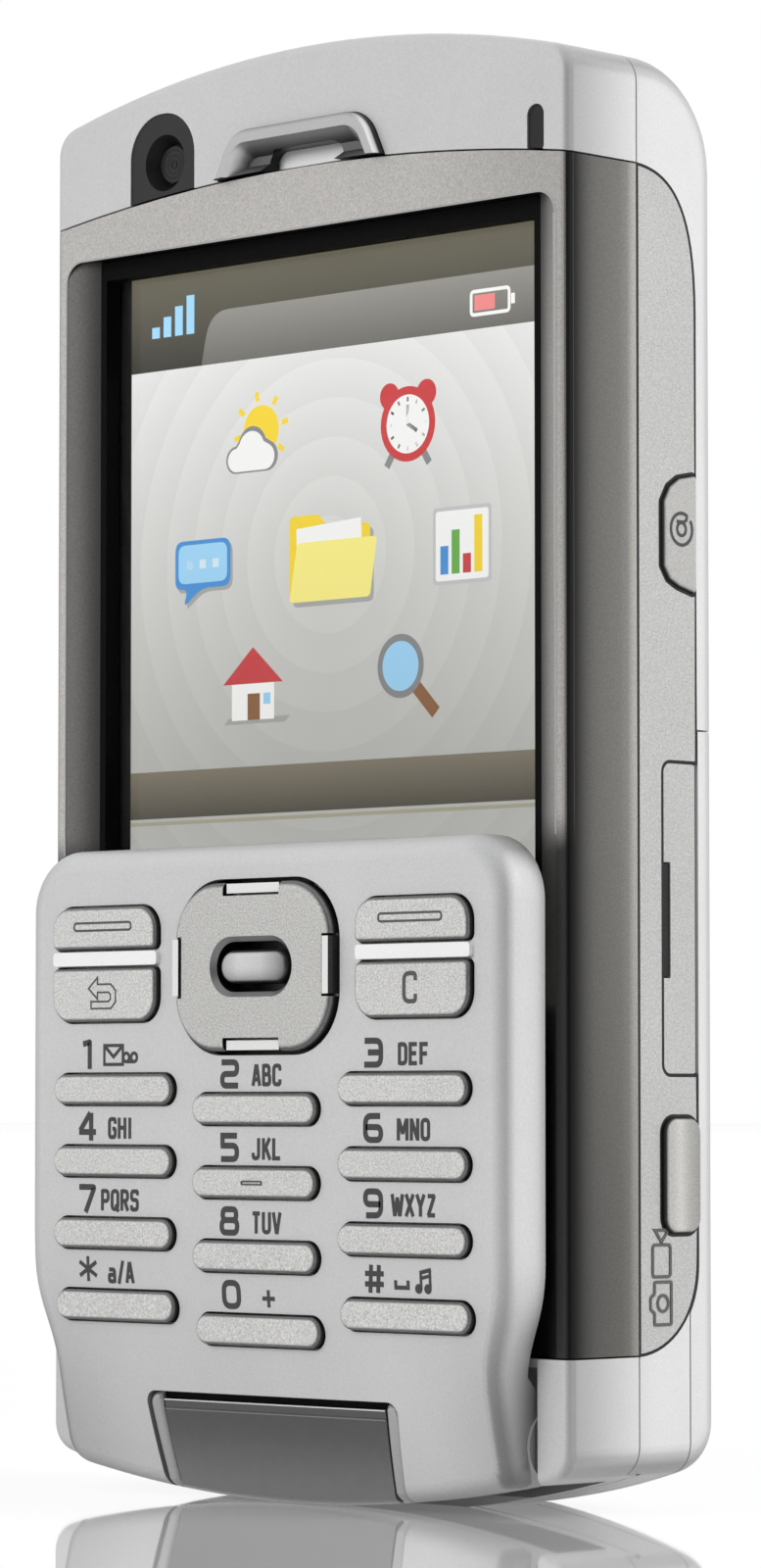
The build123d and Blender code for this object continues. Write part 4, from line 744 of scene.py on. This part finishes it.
# Round letter sign on the web key
mark = Shape()
lay = on_side(WEB_KEY_X, 5.35, 74.6)
draw_line(mark, circle(0.0, 0.0, 0.5, 20), 0.13, lay, True)
tail = [(0.55, 0.55), (0.55, -0.3), (0.75, -0.58), (1.05, -0.6)]
draw_line(mark, tail + circle(0.0, 0.0, 1.22, 28, -20, 325), 0.13, lay, level=1)
mark.done("web_key_mark", "web_key", [PRINT], "black_plastic")

# Relief pictures of a film camera and a photo camera near the shutter key
RELIEF_Y, RELIEF_HALF, RELIEF_RISE = 3.2, 0.12, 0.07
camera_body = [(-1.6, -1.1), (1.6, -1.1), (1.6, 0.8), (0.7, 0.8), (0.45, 1.25), (-0.45, 1.25), (-0.7, 0.8),
               (-1.6, 0.8)]
relief = Shape()
for z, outlines in (
        (19.6, (soft_box(-1.7, -1.0, 0.7, 1.0, 0.3), [(0.9, 0.0), (1.8, 0.75), (1.8, -0.75)])),
        (15.9, (rounded(camera_body, 0.15, True), circle(0, -0.15, 0.6, 24)))):
    for outline in outlines:
        relief.ribbon(outline, RELIEF_HALF, on_side(SIDE_X, RELIEF_Y, z), -SUNK, RELIEF_RISE, True)
relief.done("panel_relief", "housing", [RELIEF_PAINT], "side_silver")


def side_loops(name, x):
    """Closed outlines of the flat side face of a node, as (y, z) in mm."""
    mesh = NODES[name].data
    uses = {}
    for face in mesh.polygons:
        if face.normal.x > 0.99 and abs(face.center.x - x * MM) < 2e-5:
            spots = [tuple(round(value / MM, 3) for value in mesh.vertices[i].co) for i in face.vertices]
            for pair in zip(spots, spots[1:] + spots[:1]):
                uses.setdefault(frozenset(pair), []).append(pair)
    steps = dict(pairs[0] for pairs in uses.values() if len(pairs) == 1)
    loops = []
    while steps:
        first, spot = steps.popitem()
        loop = [first]
        while spot in steps and spot != first:
            loop.append(spot)
            spot = steps.pop(spot)
        loops.append([(y, z) for _, y, z in loop])
    return loops


# Seams around the side panel and its openings, and the finger notch of the card door, filled black as painted
# shade
SEAM_HALF, SEAM_RISE = 0.12, 0.012
seams = Shape()
for loop in side_loops("side_panel_right", SIDE_X):
    seams.ribbon(loop, SEAM_HALF, lambda u, v, w: (SIDE_X + w, u, v), -SUNK, SEAM_RISE, True)
seams.done("panel_seams", "housing", [BLACK], "black_plastic")
notch = Shape()
notch.prism(soft_box(-4.3, -0.66, 4.2, 0.36, 0.2), on_side(DOOR_X, 3.98, 44.85), -0.38, 0.03)
notch.done("card_door_slot", "card_door", [BLACK], "black_plastic")

# Letters of the keyboard under the flip
BOARD_LETTERS = ("QWERTYUIOP", "ASDFGHJKL.", "ZXCVBNM,?!")
BOARD_PITCH = 4.8
BOARD_ROW = 5.0
BOARD_TOP_Z = 33.0
letters = Shape()
for row, line in enumerate(BOARD_LETTERS):
    for column, letter in enumerate(line):
        lay = on_front((column - 4.5) * BOARD_PITCH, BOARD_KEY_Y, BOARD_TOP_Z - BOARD_ROW * row)
        draw_word(letters, letter, 1.6, 0.11, lay)
lay = on_front(0, BOARD_KEY_Y, BOARD_TOP_Z - 3 * BOARD_ROW)
draw_line(letters, [(-3, 0.4), (-3, -0.4), (3, -0.4), (3, 0.4)], 0.12, lay)
letters.done("keyboard_letters", "housing", [PALE_PRINT], "bright_trim")


def turned(name, profile, centre, look, slot, loop=False):
    made = Shape()
    made.lathe(profile, centre, loop)
    made.done(name, "housing", [look], slot)


# Stepped barrel of the front lens, ring and dome of the rear lens, ribs of the photo light
steps = [(0, -5.6), (1.55, -5.6), (1.55, -5.82)]
for count in range(5):
    radius, lower = 1.5 - 0.26 * count, 0.02 * count
    steps += [(radius, -5.98 + lower), (radius - 0.14, -5.88 + lower)]
turned("front_lens_barrel", steps + [(0, -5.78)], FRONT_LENS_AT, FRONT_LENS, "black_plastic")
ring = [(3.35, 11.8), (3.35, 12.05), (3.05, 12.15), (2.7, 12.05), (2.45, 11.85), (2.45, 11.8)]
turned("rear_lens_ring", ring, REAR_LENS_AT, CHROME, "bright_trim", True)
dome = [(0, 11.8), (2.4, 11.8), (2.4, 11.86), (1.9, 11.96), (1.2, 12.05), (0.5, 12.1), (0, 12.105)]
turned("rear_lens_dome", dome, REAR_LENS_AT, BACK_LENS, "screen_glass")
steps = [(0, 11.97), (1.85, 11.97), (1.85, 12.0)]
for count in range(4):
    radius = 1.7 - 0.4 * count
    steps += [(radius, 12.13), (radius - 0.25, 12.02)]
turned("photo_light_ribs", steps + [(0, 12.06)], LAMP_AT, LAMP, "screen_glass")

# Contacts in the connector
PIN_COUNT = 11
PIN_PITCH = 1.5
pins = Shape()
for count in range(PIN_COUNT):
    x = (count - PIN_COUNT // 2) * PIN_PITCH
    pins.prism(soft_box(-0.3, -3.0, 0.3, 0.0, 0.15), on_front(x, 4.65, 3.95), 0.0, 0.2)
pins.done("connector_contacts", "housing", [GOLD], "steel")

# Painted highlight: a bright line along the edge of the screen recess
LIP_HALF, LIP_TOP, LIP_BASE, LIP_R = 27.15, 99.5, 51.0, 1.8
lip = [(-LIP_HALF, LIP_BASE), (-LIP_HALF, LIP_TOP - LIP_R)]
lip += circle(LIP_R - LIP_HALF, LIP_TOP - LIP_R, LIP_R, 10, 180, -90)
lip += [(-u, v) for u, v in reversed(lip)]
edge = Shape()
edge.ribbon(lip, 0.07, on_front(0, BEZEL_FACE_Y, 0), -0.02, 0.02)
edge.done("recess_edge_highlight", "housing", [EDGE_HIGHLIGHT], "bright_trim")

# Picture on the screen: bands, then signs in layers of the gap behind the glass
LAYERS = (0.0, 0.012, 0.022, 0.032, 0.042)
LIT_COLOURS = {
    "white": (0.86, 0.86, 0.84), "black": (0.02, 0.02, 0.02), "yellow": (0.86, 0.62, 0.02),
    "pale_yellow": (0.92, 0.80, 0.22), "blue": (0.05, 0.26, 0.62), "pale_blue": (0.32, 0.62, 0.86),
    "red": (0.55, 0.035, 0.04), "pale_red": (0.78, 0.22, 0.22), "green": (0.12, 0.38, 0.06),
    "grey": (0.22, 0.225, 0.23), "pale_grey": (0.5, 0.505, 0.51), "brown": (0.24, 0.10, 0.03),
    "shade": (0.36, 0.36, 0.345),
}
INDEX = {name: i for i, name in enumerate(LIT_COLOURS)}


def lit(name, colour):
    """A lit colour that is a little brighter at the top of the screen."""
    spread = 0.1 if name == "white" else 0.16
    low = tuple(value * (1 - spread) for value in colour)
    high = tuple(min(1.0, value * (1 + spread)) for value in colour)
    return display("lit_" + name, low, high, 57.0, 92.0)


LIT = [lit(name, colour) for name, colour in LIT_COLOURS.items()]


class Picture(Shape):
    """A sign on the screen. Its parts have a colour and a layer."""

    def __init__(self, x, z, size=1.0):
        super().__init__()
        self.lay = on_front(x, LCD_Y, z)
        self.size = size

    def fill(self, outline, colour, layer):
        outline = [(u * self.size, v * self.size) for u, v in outline]
        self.prism(outline, self.lay, LAYERS[layer - 1], LAYERS[layer], INDEX[colour])

    def line(self, points, half, colour, layer, closed=False):
        points = [(u * self.size, v * self.size) for u, v in points]
        low, high = LAYERS[layer - 1], LAYERS[layer]
        self.ribbon(points, half * self.size, self.lay, low, high, closed, INDEX[colour])

    def finish(self, name):
        self.done(name, "housing", LIT, "display")


def spoke(x, z, degrees, inner, outer):
    """Line from one radius to another about a centre."""
    c, s = math.cos(math.radians(degrees)), math.sin(math.radians(degrees))
    return [(x + inner * c, z + inner * s), (x + outer * c, z + outer * s)]


def band(name, outline, low, high, z0, z1, layer=1):
    made = Shape()
    made.prism(outline, on_front(0, LCD_Y, 0), LAYERS[layer - 1], LAYERS[layer])
    made.done(name, "housing", [display("lit_" + name, low, high, z0, z1)], "display")


def strip(z0, z1):
    return box_points(-LIT_HALF, z0, LIT_HALF, z1)


band("screen_header", strip(HEADER_Z, SCREEN_TOP_Z), (0.028, 0.026, 0.018), (0.135, 0.122, 0.085), HEADER_Z,
     98.0)
tab = [(LIT_HALF, HEADER_Z), (LIT_HALF, TAB_Z)]
tab += rounded([(-9.0, TAB_Z), (-13.6, TAB_Z), (-14.6, HEADER_Z)], 2.6)
band("screen_tab", tab, (0.15, 0.143, 0.128), (0.30, 0.288, 0.26), HEADER_Z, TAB_Z, 2)
band("screen_foot", strip(FOOT_Z, FIELD_Z), (0.055, 0.048, 0.032), (0.17, 0.148, 0.105), FOOT_Z, FIELD_Z)
band("screen_rule", strip(53.35, 53.65), (0.30, 0.28, 0.2), (0.34, 0.32, 0.24), 53, 54)

status = Picture(0, 94.3)
for count in range(4):
    x = -20.4 + 1.35 * count
    status.fill(box_points(x, -1.3, x + 0.9, -0.4 + 0.75 * count), "pale_blue", 2)
status.line(soft_box(15.4, -2.9, 19.4, -1.1, 0.3), 0.14, "white", 3, True)
status.fill(box_points(15.75, -2.6, 17.9, -1.4), "pale_red", 3)
status.fill(box_points(19.6, -2.4, 20.0, -1.6), "white", 3)
status.finish("screen_status")

# Six signs around a folder: their columns and rows on the screen
INNER_X, OUTER_X = 8.6, 14.4
UPPER_Z, MIDDLE_Z, LOWER_Z = 83.6, 73.8, 64.0

sky = Picture(-INNER_X, UPPER_Z)
sky.fill(circle(0.9, 0.9, 2.0), "yellow", 1)
for count in range(8):
    sky.line(spoke(0.9, 0.9, 45 * count + 10, 2.35, 3.1), 0.22, "yellow", 1)
cloud = circle(1.6, -1.2, 1.2, 12, -90, 150) + circle(-0.1, -0.3, 1.6, 14, 20, 140)
cloud += circle(-2.0, -1.3, 1.1, 12, 90, 180)
sky.fill(cloud, "grey", 2)
sky.fill([(u * 0.9 - 0.1, v * 0.86 - 0.2) for u, v in cloud], "white", 3)
sky.finish("screen_sky")

clock = Picture(INNER_X, UPPER_Z)
for side in (-1, 1):
    clock.fill(circle(side * 2.0, 2.3, 1.05, 20), "red", 1)
    clock.line([(side * 1.5, -2.0), (side * 2.3, -3.2)], 0.32, "grey", 1)
clock.fill(circle(0, 0, 2.95), "red", 2)
clock.fill(circle(0, 0, 2.3), "white", 3)
for count in range(12):
    clock.line(spoke(0, 0, 30 * count, 1.75, 2.1), 0.1, "black", 3)
clock.line([(0, 1.5), (0, 0), (1.0, -0.6)], 0.16, "black", 3)
clock.finish("screen_clock")

talk = Picture(-OUTER_X, MIDDLE_Z)
bubble = [(-3.2, -1.5), (-1.7, -1.5), (-2.3, -3.0), (-0.1, -1.5), (3.2, -1.5), (3.2, 2.4), (-3.2, 2.4)]
bubble = rounded(bubble, 0.9, True)
talk.fill([(u + 0.25, v - 0.3) for u, v in bubble], "shade", 1)
talk.fill(bubble, "blue", 2)
inner = [(u * 0.88, (v - 0.45) * 0.8 + 0.5) for u, v in soft_box(-3.2, -1.5, 3.2, 2.4, 0.9)]
talk.fill(inner, "pale_blue", 3)
for u in (-1.5, 0, 1.5):
    talk.line([(u - 0.35, 0.45), (u + 0.35, 0.45)], 0.35, "white", 3)
talk.finish("screen_talk")

folder = Picture(0, MIDDLE_Z, 1.12)
back = rounded([(-4.0, -3.0), (4.0, -3.0), (4.0, 2.2), (-0.3, 2.2), (-1.0, 3.1), (-4.0, 3.1)], 0.5, True)
folder.fill([(u + 0.35, v - 0.35) for u, v in back], "shade", 1)
folder.fill(back, "yellow", 2)
folder.fill([(-3.2, -1.0), (3.3, -1.0), (3.1, 2.6), (-3.3, 2.2)], "white", 3)
folder.fill(rounded([(-4.0, -3.0), (4.0, -3.0), (4.7, 1.2), (-3.2, 1.2)], 0.35, True), "pale_yellow", 4)
folder.finish("screen_folder")

chart = Picture(OUTER_X, MIDDLE_Z)
chart.fill(soft_box(-3.1, -3.0, 3.1, 3.0, 0.4), "pale_grey", 1)
chart.fill(soft_box(-2.8, -2.7, 2.8, 2.7, 0.3), "white", 2)
for count, (height, colour) in enumerate(((2.2, "blue"), (3.4, "green"), (1.5, "red"), (4.4, "yellow"))):
    x = -2.3 + 1.2 * count
    chart.fill(box_points(x, -2.2, x + 0.85, -2.2 + height), colour, 3)
chart.finish("screen_chart")

house = Picture(-INNER_X, LOWER_Z)
house.fill([(-3.3, -2.9), (3.6, -2.9), (4.2, -2.4), (-2.8, -2.4)], "shade", 1)
house.fill(box_points(-2.4, -2.6, 2.4, 0.8), "white", 2)
house.fill([(-3.4, 0.3), (3.4, 0.3), (0, 3.2)], "red", 3)
house.fill(box_points(-0.6, -2.6, 0.8, -0.5), "brown", 3)
house.fill(box_points(1.2, -1.4, 2.0, -0.5), "pale_blue", 3)
house.finish("screen_house")

search = Picture(INNER_X, LOWER_Z)
search.line([(0.6, -0.6), (3.0, -3.0)], 0.55, "brown", 1)
search.fill(circle(-0.8, 0.8, 2.5), "grey", 2)
search.fill(circle(-0.8, 0.8, 1.95), "pale_blue", 3)
search.finish("screen_search")

# Stage in metres: floor, world, lights, dark card and camera

FLOOR_HALF = 6.0
GLOW_NEAR, GLOW_FAR = 0.52, 0.9
GLOW_START, GLOW_END = 0.1, 0.9
MIRROR_SLOPE, MIRROR_SHARE = 0.68, 0.82


def sheet(name, corners, look):
    """One flat face of the stage."""
    data = bpy.data.meshes.new(name)
    data.from_pydata(corners, [], [(0, 1, 2, 3)])
    data.materials.append(look)
    piece = bpy.data.objects.new(name, data)
    bpy.context.scene.collection.objects.link(piece)
    return piece


def floor_acrylic():
    """Pale acrylic: glows more further out, and mirrors only at flat angles."""
    look = Look("floor_acrylic")
    look.tree.nodes.remove(look.shader)
    seen = look.seen_by_eye()
    grain = look.scaled((0.5, 0.5, 0.5), look.noise(30, 0.99, 1.01))
    matt = look.add("BsdfDiffuse", {"Color": grain}).outputs[0]
    away = look.add("VectorMath", {0: look.spot}, operation="LENGTH").outputs["Value"]
    lift = look.math("MULTIPLY", seen, look.span(away, GLOW_START, GLOW_END, GLOW_NEAR, GLOW_FAR))
    glow = look.add("Emission", {"Color": 1, "Strength": lift}).outputs[0]
    lower = look.add("AddShader", {0: matt, 1: glow}).outputs[0]
    mirror = look.add("BsdfGlossy", {"Color": 1, "Roughness": 0.04}).outputs[0]
    flat = look.add("Fresnel", {"IOR": 1.5}).outputs[0]
    gain = look.span(flat, 0.0, MIRROR_SLOPE, 0.0, MIRROR_SHARE, False)
    both = look.add("MixShader", {0: look.math("MULTIPLY", seen, gain), 1: lower, 2: mirror}).outputs[0]
    look.feed(look.tree.nodes["Material Output"], {"Surface": both})
    return look.made


FLOOR_CORNERS = [(x, y, 0) for x, y in box_points(-FLOOR_HALF, -FLOOR_HALF, FLOOR_HALF, FLOOR_HALF)]
floor = sheet("floor", FLOOR_CORNERS, floor_acrylic())

world = bpy.data.worlds.new("studio")
world.use_nodes = True
bpy.context.scene.world = world
air = Wiring(world.node_tree)
air.feed(world.node_tree.nodes["Background"], {
    "Color": 1, "Strength": air.span(air.seen_by_eye(), 0.0, 1.0, 0.42, 1.0, False)})


def softbox(name, place, target, size, power):
    data = bpy.data.lights.new(name, "AREA")
    data.shape = "RECTANGLE"
    data.size = data.size_y = size
    data.energy = power
    piece = bpy.data.objects.new(name, data)
    piece.location = place
    piece.rotation_euler = (Vector(target) - Vector(place)).to_track_quat("-Z", "Y").to_euler()
    piece.visible_camera = False
    piece.visible_glossy = False
    bpy.context.scene.collection.objects.link(piece)


TARGET = (0, 0, 0.06)
BOX_SIZE = 0.5
softbox("key_light", (-0.14, -0.85, 0.45), TARGET, BOX_SIZE, 4.6)
softbox("side_light", (0.72, 0.40, 0.40), TARGET, BOX_SIZE, 8.0)

# Dark card beside the camera. Only reflections show it.
CARD_CORNERS = [(0.62, -0.28, 0.0), (0.26, -0.64, 0.0), (0.26, -0.64, 0.5), (0.62, -0.28, 0.5)]
card = sheet("dark_card", CARD_CORNERS, moulding("card_felt", 0.01, 0.8, 300, 1e-5, shine=0.0))
for ray in ("visible_camera", "visible_diffuse", "visible_shadow", "visible_transmission"):
    setattr(card, ray, False)

# Camera at the photograph's viewing angle: place in metres, turn and tilt in degrees
CAMERA_PLACE = (0.30924, -0.31310, 0.0310)
CAMERA_TURN = 44.462
CAMERA_TILT = 3.264
SENSOR_WIDTH = 36.0
FOCAL_LENGTH = 128.27
camera_data = bpy.data.cameras.new("camera")
camera_data.sensor_width = SENSOR_WIDTH
camera_data.lens = FOCAL_LENGTH
camera_data.clip_start = 0.01
camera = bpy.data.objects.new("camera", camera_data)
camera.location = CAMERA_PLACE
turn, tilt = math.radians(CAMERA_TURN), math.radians(CAMERA_TILT)
ahead = Vector((-math.sin(turn) * math.cos(tilt), math.cos(turn) * math.cos(tilt), math.sin(tilt)))
camera.rotation_euler = ahead.to_track_quat("-Z", "Y").to_euler()
bpy.context.scene.collection.objects.link(camera)
bpy.context.scene.camera = camera
bpy.context.scene.view_settings.view_transform = "Standard"
